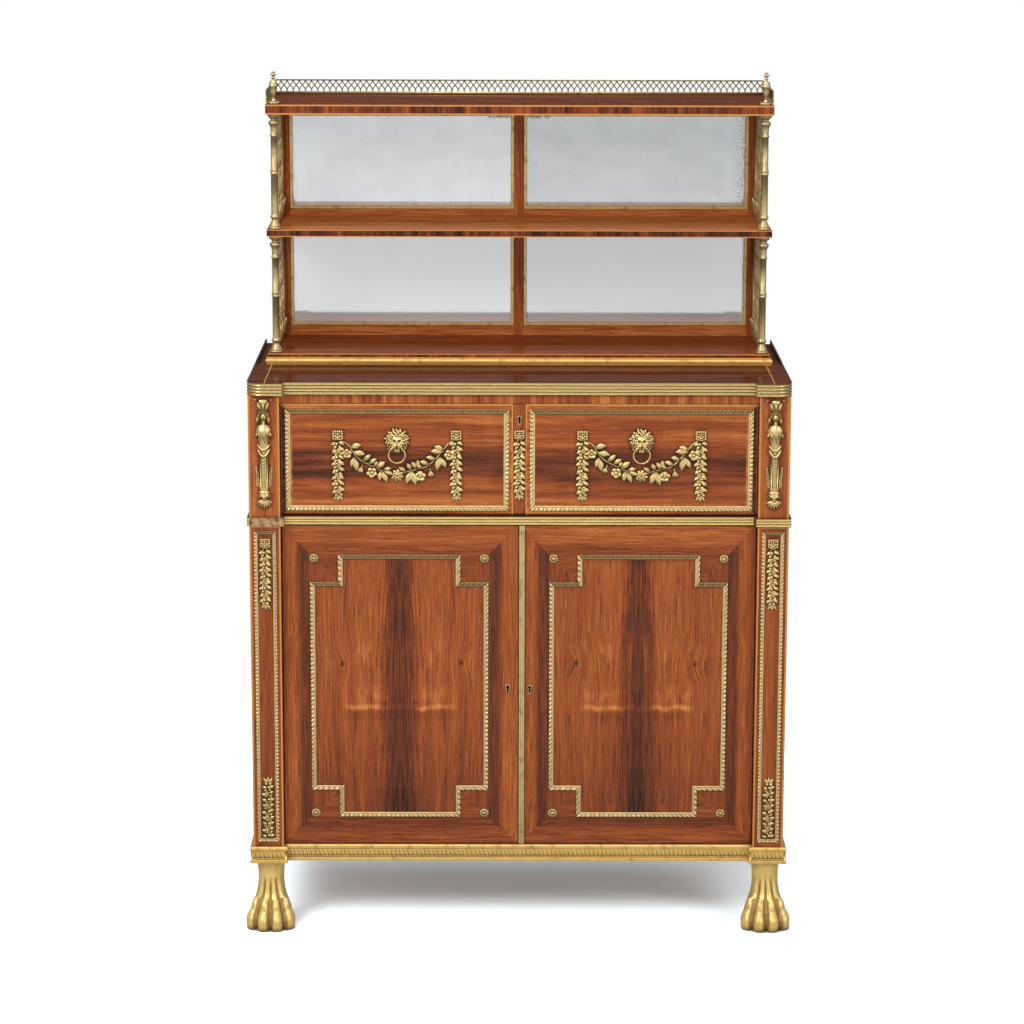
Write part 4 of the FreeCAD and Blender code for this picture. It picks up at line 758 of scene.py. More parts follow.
def lathe(profile, sides=40, lobes=None):
    """A turned shape about the upright axis, from a list of radius and height."""
    profile = np.asarray(profile, float)
    angle = circle(sides)
    radius = np.repeat(profile[:, :1], sides, 1)
    if lobes is not None:
        radius = radius * lobes(angle[None, :], profile[:, 1:])
    height = np.repeat(profile[:, 1:], sides, 1)
    slope = np.gradient(profile[:, 0])
    bend = np.gradient(slope)
    relief = np.repeat(np.clip(0.66 - bend * 0.22, 0.30, 1)[:, None], sides, 1)
    faces = flipped(grid(len(profile), sides, True))
    return stack(radius * np.cos(angle), radius * np.sin(angle), height), faces, relief


def block(x, y, z, bevel=0.4):
    """A square-edged block with small bevels."""
    (x0, x1), (y0, y1), (z0, z1) = x, y, z
    levels = [(z0, bevel), (z0 + bevel, 0), (z1 - bevel, 0), (z1, bevel)]
    points = []
    for level, inset in levels:
        points += [(x0 + inset, y0 + inset, level), (x1 - inset, y0 + inset, level),
                   (x1 - inset, y1 - inset, level), (x0 + inset, y1 - inset, level)]
    faces = flipped(grid(4, 4, True)) + [(3, 2, 1, 0), (12, 13, 14, 15)]
    return np.array(points, float), faces, 0.85


def shifted(x, y, z):
    return lambda points: points + np.array([x, y, z])


def leaf_relief(u, v):
    """Height of a row of rounded leaves: u counts leaves along it, v runs from their tips to the fillet."""
    turned = u + 0.38 * v * v
    place = turned % 1.0 - 0.5
    small = np.floor(turned) % 2
    body = np.sqrt(np.clip(1 - np.abs(place / 0.41) ** 2.2, 0, 1)) * (1 - 0.22 * small)
    return 1 - (1 - body) * (1 - 0.45 * ease(v, 0.55, 1.0))


def moulding_frame(casting, corners, bar, deep, pitch, move):
    """A mitred frame inside a polygon of square corners, drawn anticlockwise.

    Leaves run along its outside and a fillet along its inside."""
    corners = np.asarray(corners, float)
    edges = np.roll(corners, -1, 0) - corners
    length = np.linalg.norm(edges, axis=1)
    inward = np.stack([-edges[:, 1], edges[:, 0]], 1) / length[:, None]
    section = np.array([
        (0, 0), (0.03, 0.60), (0.08, 0.88), (0.15, 1.0), (0.23, 0.99), (0.31, 0.94),
        (0.39, 0.86), (0.47, 0.76), (0.54, 0.66), (0.59, 0.56), (0.63, 0.42), (0.68, 0.56),
        (0.80, 0.55), (0.93, 0.46), (0.98, 0.28), (1.0, 0)])
    share, rise = section.T
    carved = np.where((share > 0.01) & (share < 0.61), 1.0, 0.0)
    smooth = np.where(share >= 0.66, 0.62, 0.0)
    for index in range(len(corners)):
        after = (index + 1) % len(corners)
        start = corners[index] + share[:, None] * bar * (inward[index] + inward[index - 1])
        stop = corners[after] + share[:, None] * bar * (inward[index] + inward[after])
        leaves = max(int(round((length[index] - bar) / pitch)), 1)
        along = np.linspace(0, 1, leaves * 10 + 1)
        spots = start[None] + (stop - start)[None] * along[:, None, None]
        u, v = spread(along * leaves, np.clip(share / 0.60, 0, 1))
        pattern = leaf_relief(u, v) * carved + smooth * (1 - carved)
        out = deep * rise[None] * np.where(carved > 0, 0.34 + 0.66 * pattern, 1.0)
        # painted shade: the top bar, whose leaves slope down towards the panel, is darkened
        painted_top_bar_shade = 1 - 0.90 * max(-inward[index, 1], 0)
        relief = np.where(rise[None] > 0, 0.25 + 0.75 * pattern, 0.1) * painted_top_bar_shade
        casting.add((stack(spots[..., 0], spots[..., 1], out), grid(len(along), len(share)), relief), move)


def swells(across, up):
    """A maker of rounded swellings on a face, the same on its left and its right."""
    def swell(x, z, wide, high, amount):
        return amount * np.exp(-((np.abs(across) - x) / wide) ** 2 - ((up - z) / high) ** 2)
    return swell


def lion(casting, size, deep, move):
    """A lion's mask: a mane of rounded locks round a broad face with a muzzle and a short beard."""
    casting.add(dome(0.86 * size, 0.86 * size, 0.42 * deep, 32, 7), move)
    rows = ((19, 0.79, 0.30, 0.118, 0.10), (16, 0.63, 0.30, 0.112, 0.25), (13, 0.51, 0.25, 0.100, 0.37))
    for row, (count, far, half_long, half_wide, lift) in enumerate(rows):
        for index in range(count):
            angle = math.radians(90 + (index + 0.5 * row) * 360 / count)
            across, up = math.cos(angle), math.sin(angle)
            turn = math.degrees(angle) - 44 * across + (30, -24, 6)[index % 3]
            grown = 1 + 0.14 * ((index * 2 + row) % 3 - 1)
            points, faces, relief = dome(half_long * grown * size, half_wide * size, 0.30 * deep, 14, 5)
            # painted shade: the outer rows of locks are darker than the inner ones and the face
            lock = points, faces, relief * (0.55 + 0.16 * row)
            casting.lay(lock, move, far * across * size, far * up * size, turn, lift * deep)
    for side in (-1, 1):
        ear = dome(0.15 * size, 0.11 * size, 0.20 * deep, 14, 5)
        casting.lay(ear, move, 0.46 * side * size, 0.44 * size, side * -40, 0.50 * deep)
    r, t = spread(np.linspace(0, 1, 26), circle(64))
    p, q = r * np.cos(t), r * np.sin(t)
    swell = swells(p, q)
    out = 0.46 + 0.20 * np.sqrt(np.clip(1 - r ** 2.2, 0, 1))
    out += swell(0.34, 0.40, 0.24, 0.12, 0.15) - swell(0.40, 0.14, 0.17, 0.12, 0.24)
    out += swell(0.40, 0.11, 0.09, 0.06, 0.12) + swell(0.0, 0.08, 0.14, 0.44, 0.16)
    out += swell(0.0, -0.28, 0.22, 0.12, 0.17) + swell(0.26, -0.48, 0.20, 0.15, 0.17)
    out += swell(0.62, -0.12, 0.15, 0.22, 0.08) - swell(0.0, -0.74, 0.40, 0.08, 0.30)
    out -= swell(0.0, 0.58, 0.05, 0.22, 0.10)
    out[-1] = 0.12
    # painted shade in the eye sockets, beside the nose, in the forehead groove, in the mouth and round the
    # face's edge
    hollow = swell(0.40, 0.15, 0.17, 0.11, 0.60) + swell(0.0, -0.74, 0.40, 0.08, 0.8)
    hollow += swell(0.20, -0.02, 0.05, 0.26, 0.25) + swell(0.0, 0.60, 0.05, 0.22, 0.3)
    relief = np.clip(0.16 + out * 0.80 - hollow - 0.5 * ease(r, 0.86, 1.0), 0, 1)
    face = stack(p * 0.52 * size, q * 0.62 * size, out * deep), grid(26, 64, True), relief
    casting.lay(face, move, 0, -0.08 * size)
    for lean in (-26, 0, 26):
        aside = 0.30 * size * math.sin(math.radians(lean))
        beard = dome(0.20 * size, 0.10 * size, 0.30 * deep, 14, 5)
        casting.lay(beard, move, aside, -0.78 * size, -90 + lean, 0.24 * deep)


def small_mask(casting, half, deep, move):
    """A square mask at the head of a drop: locks above and beside a small face on a square plate."""
    casting.add(block((-half, half), (-0.92 * half, 0.92 * half), (0, 0.34 * deep), 1.6), move)
    forms = [(0, 0.02, 0.13, 0.42, 0.60), (0, -0.40, 0.36, 0.20, 0.56)]
    for side in (-1, 1):
        forms += [(side * 0.36, -0.14, 0.24, 0.22, 0.44), (side * 0.30, 0.34, 0.22, 0.10, 0.50)]
        forms += [(side * 0.42, -0.72, 0.18, 0.17, 0.34)]
        forms += [(side * 0.78, place, 0.17, 0.22, 0.34) for place in (-0.55, -0.12, 0.32)]
    forms += [(place, 0.68, 0.15, 0.22, 0.40) for place in (-0.72, -0.36, 0.0, 0.36, 0.72)]
    forms += [(0, -0.74, 0.2, 0.16, 0.40)]
    for a, b, wide, tall, out in forms:
        points, faces, relief = dome(1.4 * wide * half, 1.35 * tall * half, out * deep, 12, 5)
        casting.lay((points, faces, 0.34 + 0.66 * relief), move, a * half, b * half, lift=0.30 * deep)


def ring(radius, wire, sides=48):
    """A flat ring that stands a little out of the face."""
    angle = circle(sides)
    path = stack(radius * np.cos(angle), radius * np.sin(angle), np.full(sides, wire))
    return tube(path, wire, 8, True)


def sprig(casting, long, tiers, wide, move, masked=False):
    """A hanging drop of overlapping leaves and small flowers, from a mask where there is one."""
    deep = 3.4
    top = 0.0
    if masked:
        small_mask(casting, half=8.7, deep=7.0, move=within(move, in_relief(0, -8.6)))
        casting.lay(ring(3.7, 0.75, 24), move, 0, -20.4, lift=1.2)
        top = 21.5
    step = (long - top - 12) / tiers
    casting.add(tube([(0, -top, 1.2), (0, -top - step * tiers, 1.2)], 0.9), move)
    for tier in range(tiers):
        b = -top - step * tier
        for side in (-1, 1):
            lean = 52 + 9 * ((tier + side) % 3)
            wing = leaf(wide * 0.58, wide * 0.40, deep * 1.2, 2.4)
            casting.lay(wing, move, side * 0.8, b + side * step * 0.10, -90 + side * lean, 0.4)
            under = leaf(wide * 0.52, wide * 0.32, deep, 1.6)
            casting.lay(under, move, side * 1.0, b - step * 0.42, -90 + side * (lean - 30))
        odd = tier % 2
        bloom = flower(wide * 0.22, 5, deep) if odd else dome(wide * 0.15, wide * 0.17, deep * 1.1, 12, 5)
        casting.lay(bloom, move, 1.6 if odd else -1.6, b - step * 0.30, tier * 31, 1.6)
    b = -top - step * tiers
    for lean in (-38, 0, 38):
        casting.lay(leaf(12.5, wide * 0.29, 2.4), move, 0, b + 1.5, -90 + lean)


# Gilt frames and rosettes on the doors


def notched(x0, x1, z0, z1, notch):
    return [(x0 + notch, z0), (x1 - notch, z0), (x1 - notch, z0 + notch), (x1, z0 + notch),
            (x1, z1 - notch), (x1 - notch, z1 - notch), (x1 - notch, z1), (x0 + notch, z1),
            (x0 + notch, z1 - notch), (x0, z1 - notch), (x0, z0 + notch), (x0 + notch, z0 + notch)]


def rectangle(x0, x1, z0, z1):
    return [(x0, z0), (x1, z0), (x1, z1), (x0, z1)]


def both_sides(near, far):
    """The same stretch to the right and to the left of the middle."""
    return (near, far), (-far, -near)


def key_lining(casting, x, z):
    """The raised brass lining of a keyhole."""
    outline = [(-2.3, -7.2), (2.3, -7.2), (2.1, 0.6), (3.3, 2.6), (3.6, 4.6), (2.6, 6.6), (0, 7.4),
               (-2.6, 6.6), (-3.6, 4.6), (-3.3, 2.6), (-2.1, 0.6)]
    path = [(a, b, 0.2) for a, b in outline]
    casting.add(tube(path, 0.75, 8, True), on_front(x, FACE_Y, z))


BOSS_INSET = 7
for label, (x0, x1) in zip(("right", "left"), both_sides(*DOOR_FRAME_X)):
    mounts = Casting()
    outline = notched(x0, x1, *DOOR_FRAME_Z, DOOR_NOTCH)
    moulding_frame(mounts, outline, bar=8.5, deep=3.0, pitch=7.6, move=on_front(0, FACE_Y, 0))
    for x in (x0 + BOSS_INSET, x1 - BOSS_INSET):
        for z in (DOOR_FRAME_Z[0] + BOSS_INSET, DOOR_FRAME_Z[1] - BOSS_INSET):
            mounts.add(boss(8, 12, 4.0), on_front(x, FACE_Y, z, 7))
    if label == "left":
        key_lining(mounts, -DOOR_KEY[0], DOOR_KEY[1])
    mounts.piece(label + "_door_gilt", frame_gilt, label + "_door", [label + "_door_mounts"])

# Mounts on the fall front

FALL_FRAME_X = (17, 390.2)
FALL_FRAME_Z = (722.2, 895.5)
fall_frames = Casting()
for x0, x1 in both_sides(*FALL_FRAME_X):
    outline = rectangle(x0, x1, *FALL_FRAME_Z)
    moulding_frame(fall_frames, outline, bar=9.5, deep=2.7, pitch=7.1, move=on_front(0, FACE_Y, 0))
fall_frames.piece("fall_gilt_frames", frame_gilt, "fall_front", ["fall_frames"])

PANEL_X = 203.6
SWAG_Z = 850.7
LION_Z = 841.7
MASK_X = 98.5
MIDDLE_DROP_Z = 860.7
RING_Y = -193.5
RING_Z = 819.0
RING_RADIUS = 13.8
RING_WIRE = 1.2
STEM = [(-94, -9), (-82, -14), (-77, -22), (-70, -34), (-60, -43), (-47, -49), (-33, -57), (-14, -63),
        (0, -66), (14, -62), (30, -58), (48, -54), (64, -41), (78, -23), (86, -13), (94, -9)]
# kind, place across and up from the swag's ends, turn, size
SWAG = [
    ("leaf", -79, -20, 12, 17), ("flower", -83, -31, 20, 7.6), ("leaf", -85, -29, 190, 9),
    ("leaf", -74, -28, -10, 18), ("leaf", -71, -36, -108, 15), ("leaf", -71, -37, -80, 19),
    ("leaf", -57, -44, 42, 15), ("bud", -56, -47, -112, 18), ("leaf", -48, -48, 32, 14),
    ("leaf", -36, -56, 36, 17), ("leaf", -38, -55, 68, 11), ("flower", -42, -63, 50, 8.4),
    ("leaf", -27, -59, -98, 15), ("leaf", -25, -60, -66, 17), ("leaf", -22, -60, -20, 14),
    ("leaf", -24, -58, 12, 13), ("leaf", 16, -61, 150, 13), ("leaf", 24, -60, 118, 13),
    ("leaf", 34, -58, 124, 14), ("leaf", 36, -56, 96, 13), ("leaf", 24, -60, -112, 19),
    ("leaf", 25, -60, -76, 20), ("leaf", 33, -60, -40, 12), ("flower", 39, -69, 15, 8.4),
    ("leaf", 43, -57, 140, 12), ("leaf", 54, -49, 160, 14), ("bud", 54, -52, -80, 19),
    ("leaf", 65, -40, 166, 14), ("leaf", 71, -36, -102, 19), ("leaf", 71, -36, -60, 17),
    ("leaf", 78, -27, 178, 18), ("leaf", 79, -24, 160, 15), ("flower", 87, -33, 40, 8.2),
    ("leaf", 86, -27, -20, 10),
]


def swag(casting, move):
    """A garland on a thin stem between two masks, with a rose at its lowest point and a drop at each end."""
    places = np.array(STEM, float)
    count = np.arange(len(places))
    fine = np.linspace(0, len(places) - 1, 73)
    path = stack(np.interp(fine, count, places[:, 0]), np.interp(fine, count, places[:, 1]), np.full(73, 1.3))
    for _ in range(4):
        path[1:-1] = (path[:-2] + 2 * path[1:-1] + path[2:]) / 4
    casting.add(tube(path, 1.1), move)
    for kind, a, b, turn, size in SWAG:
        if kind == "leaf":
            casting.lay(leaf(size * 1.20, size * 0.66, 5.4, 2.4), move, a, b, turn, 1.0)
        elif kind == "flower":
            casting.lay(flower(size * 1.1, 5, 5.6, 0.30), move, a, b, turn, 0.9)
        else:
            stalk = within(move, in_relief(a, b, turn, lift=0.4))
            casting.add(tube([(0, 0, 1.6), (size * 0.5, 0, 1.6)], 0.9), stalk)
            for lean in (-20, 0, 20):
                casting.lay(leaf(size * 0.62, size * 0.32, 4.4), stalk, size * 0.4, 0, lean)
    for radius, petals, rise, lift in ((10.6, 8, 4.2, 0.4), (8.0, 7, 4.6, 2.0), (5.0, 5, 4.6, 3.9)):
        casting.lay(flower(radius, petals, rise, 0.22), move, 0, -68, radius * 37, lift)
    for side in (-1, 1):
        small_mask(casting, half=9.2, deep=7.4, move=within(move, in_relief(side * MASK_X, 0)))
        hung = within(move, in_relief(side * MASK_X, -11))
        sprig(casting, long=103, tiers=8, wide=19.5, move=hung)


swags = Casting()
for x in (-PANEL_X, PANEL_X):
    swag(swags, on_front(x, FACE_Y, SWAG_Z))
sprig(swags, long=122, tiers=8, wide=19, move=on_front(0, FACE_Y, MIDDLE_DROP_Z), masked=True)
swags.piece("fall_gilt_swags", cast_gilt, "fall_front", ["fall_swags"])

lions = Casting()
for x in (-PANEL_X, PANEL_X):
    lion(lions, size=21.4, deep=15.0, move=on_front(x, FACE_Y, LION_Z))
lions.piece("fall_gilt_lions", cast_gilt, "fall_front", ["lion_masks"])

for x, label in ((PANEL_X, "right"), (-PANEL_X, "left")):
    pull = Casting()
    angle = circle(64)
    path = stack(x + RING_RADIUS * np.cos(angle), np.full(64, RING_Y), RING_Z + RING_RADIUS * np.sin(angle))
    pull.add(tube(path, RING_WIRE, 12, True))
    pull.piece(label + "_gilt_ring", cast_gilt, label + "_ring", [label + "_ring_pull"])

# Mounts on the pilasters

PILASTER_FRAME_X = (405.25, 442.75)
PILASTER_FRAME_Z = (151, 691.5)
UPPER_DROP_Z = 679
LOWER_SPRIG_Z = 160
HERM_Z = 725.7
pilaster_frames = Casting()
for x0, x1 in both_sides(*PILASTER_FRAME_X):
    outline = rectangle(x0, x1, *PILASTER_FRAME_Z)
    moulding_frame(pilaster_frames, outline, bar=6.5, deep=2.5, pitch=6.4, move=on_front(0, PILASTER_Y, 0))
pilaster_frames.piece("pilaster_gilt_frames", frame_gilt, "cabinet", ["pilaster_frames"])

pilaster_drops = Casting()
for x in (-PILASTER_X, PILASTER_X):
    hanging = on_front(x, PILASTER_Y, UPPER_DROP_Z)
    rising = on_front(x, PILASTER_Y, LOWER_SPRIG_Z, 180)
    sprig(pilaster_drops, long=125, tiers=9, wide=18, move=hanging, masked=True)
    sprig(pilaster_drops, long=107, tiers=9, wide=18, move=rising)
pilaster_drops.piece("pilaster_gilt_drops", cast_gilt, "cabinet", ["pilaster_drops"])


def relief_body(levels, folds=None):
    """A rounded upright form against a face, from a list of height, half width and how far it stands out."""
    columns = 17
    levels = np.asarray(levels, float)
    angle = np.linspace(0, math.pi, columns)
    b = np.repeat(levels[:, :1], columns, 1)
    a = levels[:, 1:2] * np.cos(angle)
    out = levels[:, 2:3] * np.sin(angle) ** 0.8
    relief = np.repeat(0.30 + 0.70 * np.sin(angle)[None], len(levels), 0)
    if folds is not None:
        depth = folds(np.cos(angle)[None], b)
        out = out * (1 + depth)
        relief = relief + depth * 2.2
    return stack(a, b, out), grid(len(levels), columns), np.clip(relief, 0, 1)


def head(casting, move):
    """A calm, plain face on simple proportions, with waved hair and a band."""
    r, t = spread(np.linspace(0, 1, 16), circle(36))
    a, b = r * np.cos(t), r * np.sin(t)
    swell = swells(a, b)
    out = 0.86 * np.sqrt(np.clip(1 - r ** 2.4, 0, 1))
    out += swell(0, -0.05, 0.10, 0.26, 0.14) - swell(0.34, 0.10, 0.16, 0.10, 0.08)
    out += swell(0, -0.52, 0.22, 0.07, 0.05) + swell(0, -0.80, 0.22, 0.14, 0.06)
    # painted shade in the eye sockets and along the mouth
    relief = 0.35 + out * 0.6 - swell(0.34, 0.10, 0.15, 0.09, 0.5) - swell(0, -0.45, 0.2, 0.05, 0.4)
    relief = np.clip(relief, 0, 1)
    casting.add((stack(a * 6.2, b * 7.8, out * 13.5), grid(16, 36, True), relief), move)
    casting.lay(dome(8.6, 9.8, 9.6, 24, 8), move, 0, 1.2)
    for lean in range(-100, 101, 20):
        way = math.radians(lean)
        casting.lay(dome(2.5, 2.4, 11.5, 12, 5), move, 7.4 * math.sin(way), 1.5 + 7.2 * math.cos(way))
    for side in (-1, 1):
        casting.lay(leaf(17, 6.0, 7.0), move, side * 7.6, 4, -94 + side * 10)


def herm(casting, move):
    """A herm: leaf capital, head, draped bust, tapering shaft with a bead string, scroll and shell."""
    for a, wide in ((-13.2, 4.3), (0, 5.4), (13.2, 4.3)):
        casting.lay(dome(wide, 1.5, 12.0 if a == 0 else 8.0, 16, 6), move, a, 188)
    bell = [(166, 5.0, 9), (170, 4.6, 9), (176, 5.2, 9.5), (182, 6.8, 11), (186, 8.4, 12.5), (188, 8.6, 11)]
    casting.add(relief_body(bell, lambda c, b: 0.10 * np.cos(9 * c)), move)
    for a, lean in ((-5, 18), (0, 0), (5, -18)):
        casting.lay(leaf(17, 6.0, 3.6, 2.5), move, a * 0.8, 169, 90 + lean, lift=8.0)
    head(casting, within(move, in_relief(0, 159.5)))
    neck = [(143, 5.4, 9), (148, 3.6, 8.5), (153, 3.4, 8.5)]
    casting.add(relief_body(neck), move)
    bust = [(102, 8.4, 8.0), (112, 8.2, 8.4), (118, 8.6, 9.2), (124, 9.8, 10.8), (129, 11.4, 12.4),
            (134, 12.6, 13.2), (138, 12.8, 12.2), (142, 11.6, 10.4), (146, 7.6, 8.6)]
    casting.add(relief_body(bust, lambda c, b: 0.17 * np.sin(10 * c + b * 0.45)), move)
    for side in (-1, 1):
        casting.lay(dome(3.0, 5.2, 8.0, 14, 6), move, side * 11.2, 129, side * 14)
    for level, wide, sag in ((113, 9.8, 9), (106, 9.8, 13)):
        share = np.linspace(-1, 1, 17)
        fold = stack(share * wide, level - sag * (1 - share ** 2), 7.4 - 2.4 * share ** 2)
        casting.add(tube(fold, 2.6 - 0.9 * np.abs(share)), move)
    shaft = [(34, 5.4, 4.6), (36, 5.4, 4.6), (94, 7.0, 5.4), (112, 8.0, 6.4)]
    casting.add(relief_body(shaft), move)
    for side in (-1, 1):
        casting.add(tube([(side * 4.8, 36, 4.4), (side * 6.2, 100, 5.0)], 1.2), move)
        for index in range(9):
            aside = side * (8.4 + 0.15 * index)
            casting.lay(leaf(6.8, 2.6, 2.2), move, aside, 40 + index * 3.8, 90 - side * 44)
        casting.add(tube([(side * 8.2, 40, 1.0), (side * 9.9, 78, 1.0)], 0.8), move)
    for index in range(11):
        size = 2.2 - 0.07 * index
        casting.lay(dome(size, size, 2.8, 12, 5), move, 0, 91 - index * 5.0, lift=5.0)
    foot = [(22, 8.0, 6.5), (24, 9.6, 8.4), (27, 9.8, 8.6), (29, 8.4, 7.4), (31, 9.2, 8.0), (33.5, 9.4, 8.0),
            (35, 6.4, 6.8)]
    casting.add(relief_body(foot), move)
    for side in (-1, 1):
        casting.lay(boss(3.6, 6, 9.2), move, side * 8.2, 26)
    casting.lay(dome(2.8, 2.8, 4.0, 14, 6), move, 0, 23.5, lift=6.5)
    for index in range(7):
        lean = -90 + (index - 3) * 18.0
        long = 20.8 - abs(index - 3) * 1.3
        away = math.radians(lean)
        a, b = long * 0.52 * math.cos(away), 21.5 + long * 0.52 * math.sin(away)
        casting.lay(dome(long * 0.48, 2.5, 5.0, 20, 6), move, a, b, lean)
    casting.lay(dome(4.2, 3.6, 6.4, 16, 6), move, 0, 19.5)


herms = Casting()
for x in (-PILASTER_X, PILASTER_X):
    herm(herms, on_front(x, PILASTER_Y, HERM_Z))
herms.piece("pilaster_gilt_herms", cast_gilt, "cabinet", ["herm_mounts"])

# Paw feet

PAW_X = 422
PAW_Y = -175.5


def paw():
    """A lion's paw: a sinewed leg that spreads into knuckled toes with a flat sole."""
    axis_y = -8
    angle = np.linspace(-math.pi, math.pi, 160, endpoint=False)
    height = np.concatenate([np.linspace(0, 44, 45), np.linspace(46, 115, 32)])
    z, t = spread(height, angle)
    way_x, way_y = np.sin(t), -np.cos(t)

    def reach(centre_x, centre_y, wide, deep):
        """Distance from the axis to the far side of an ellipse, where the ray meets it."""
        u, v = way_x / wide, way_y / deep
        p, q = -centre_x / wide, -(centre_y - axis_y) / deep
        a = u * u + v * v
        half_b = u * p + v * q
        inside = half_b ** 2 - a * (p * p + q * q - 1)
        return np.where(inside > 0, (-half_b + np.sqrt(np.clip(inside, 0, None))) / a, 0.0)

    levels = np.array([0, 10, 18, 30, 38, 49, 59, 70, 80, 95, 105, 115])
    wide = np.interp(z, levels, [34, 36, 36.5, 35.5, 33.0, 28.8, 25.8, 24.0, 23.2, 23.6, 24.4, 25.4])
    deep = np.interp(z, levels, [36, 38, 38.5, 37, 34.8, 30.4, 26.8, 24.2, 23.0, 23.2, 24.0, 25.0])
    forward = np.interp(z, levels, [-8, -8, -8, -7, -6, -4, -2, -1, 0, 0, 0, 0])
    forms = [reach(0, forward, wide, deep)]
    toes = ((-30.8, -26.0, 12.2), (-11.3, -38.0, 12.4), (11.3, -38.0, 12.4), (30.8, -26.0, 12.2))
    for x, y, half in toes:
        for back, middle, tall, length, share in ((0, 12.5, 21.5, 19.6, 1.0), (9, 31, 21.0, 17.0, 0.76)):
            size = np.sqrt(np.clip(1 - ((z - middle) / tall) ** 2, 1e-4, 1))
            forms.append(reach(x * (1 - back * 0.02), y + back, half * share * size, length * size))
    sharp = 2.2
    total = sum(np.exp(form / sharp) for form in forms)
    radius = sharp * np.log(total) - 1.3
    for x, y, half in toes:
        lean = math.atan2(x, -(y - axis_y))
        ridge = np.exp(-((t - lean) / 0.18) ** 2)
        radius = radius + 1.9 * ridge * ease(z, 36, 50) * (1 - ease(z, 72, 96))
    for lean in (-0.62, 0.0, 0.62):
        valley = np.exp(-((t - lean) / 0.09) ** 2)
        radius = radius - 2.0 * valley * ease(z, 32, 44) * (1 - ease(z, 64, 88))
    crease = np.exp(-((z - 26) / 2.0) ** 2) * (np.abs(t) < 1.5)
    radius = radius - 0.6 * crease
    blurred = sum(np.roll(radius, steps, 1) for steps in (5, -5, 10, -10)) / 4
    relief = 0.66 + (radius - blurred) * 0.30 - crease * 0.14 - 0.25 * (1 - ease(z, 40, 60))
    relief = np.clip(relief, 0, 1)
    points = stack(radius * way_x, radius * way_y + axis_y, z)
    faces = flipped(grid(*z.shape, True) + [tuple(range(len(angle)))])
    return points, faces, relief


paws = Casting()
for x in (-PAW_X, PAW_X):
    paws.add(paw(), shifted(x, PAW_Y, 0))
paws.piece("gilt_paws", paw_gilt, "cabinet", ["paw_feet"])

# Leaf band in the hollow of the plinth moulding

LEAF_PLAN = [(-453, 233.5), (-453, -203.5), (-395, -203.5), (-395, -187.5),
             (395, -187.5), (395, -203.5), (453, -203.5), (453, 233.5)]


def leaf_band(casting, z0, z1, pitch, deep):
    """Upright leaves above a row of beads, along the plan of the plinth."""
    plan = np.array(LEAF_PLAN, float)
    level = np.linspace(0, 1, 15)
    for start, stop in zip(plan[:-1], plan[1:]):
        run = stop - start
        length = np.linalg.norm(run)
        outward = np.array([run[1], -run[0]]) / length
        leaves = max(int(round(length / pitch)), 1)
        share = np.linspace(0, 1, leaves * 10 + 1)
        u, v = spread(share * leaves, level)
        place = (u + 0.55 * (v - 0.3)) % 1.0 - 0.5
        half = 0.48 * np.sqrt(np.clip(1 - ((v - 0.56) / 0.46) ** 2, 0, 1))
        upright = np.sqrt(np.clip(1 - (place / np.maximum(half, 1e-3)) ** 2, 0, 1)) * (v > 0.24)
        vein = 0.45 * np.exp(-(place / 0.06) ** 2)
        dart = 1 - ((np.abs(place) - 0.5) / 0.16) ** 2 - ((v - 0.88) / 0.16) ** 2
        dart = 0.75 * np.sqrt(np.clip(dart, 0, 1))
        bead_place = (u * 2) % 1.0 - 0.5
        beads = 1 - (bead_place / 0.40) ** 2 - ((v - 0.11) / 0.11) ** 2
        beads = 0.9 * np.sqrt(np.clip(beads, 0, 1))
        pattern = np.clip(np.maximum(np.maximum(upright * (0.9 - vein), dart), beads), 0, 1)
        out = deep * pattern + 0.05
        spot = start[None] + run[None] * share[:, None]
        x = spot[:, :1] + outward[0] * out
        y = spot[:, 1:] + outward[1] * out
        points = stack(x, y, z0 + (z1 - z0) * v)
        casting.add((points, grid(len(share), len(level)), 0.1 + 0.9 * pattern))


plinth_leaves = Casting()
for x, y in LEAF_PLAN[1:-1]:
    plinth_leaves.add(tube([(x, y, 119.8), (x, y, 136.4)], 2.0, 10))
leaf_band(plinth_leaves, z0=120.5, z1=135.8, pitch=7.2, deep=2.4)
plinth_leaves.piece("plinth_leaf_band", leaf_gilt, "cabinet")

# Brass columns, urns, gallery and side grilles

TIERS = ((959.5, 200.0), (1171.5, 194.5))
COLUMN_X = 415.5
COLUMN_Y = 10.0
FOOT_HALF = 9.7
FOOT_HIGH = 4
REAR_POST_Y = 201.0
REAR_POST_RADIUS = 3.2
GRILLE_FRONT = 26.75
GRILLE_LONG = 173.75
GRILLE_HALF = 1.25
GALLERY_HALF = 427.5
GALLERY_BACK_Y = 228.5
GALLERY_SIDE_X = 426.6
GALLERY_FRONT_Y = -2.0
GALLERY_SIDE_LONG = 229.4


def square_foot(casting, x, z):
    """The square block at the foot or head of a column."""
    casting.add(block((x - FOOT_HALF, x + FOOT_HALF), (COLUMN_Y - FOOT_HALF, COLUMN_Y + FOOT_HALF),
                      (z, z + FOOT_HIGH)))


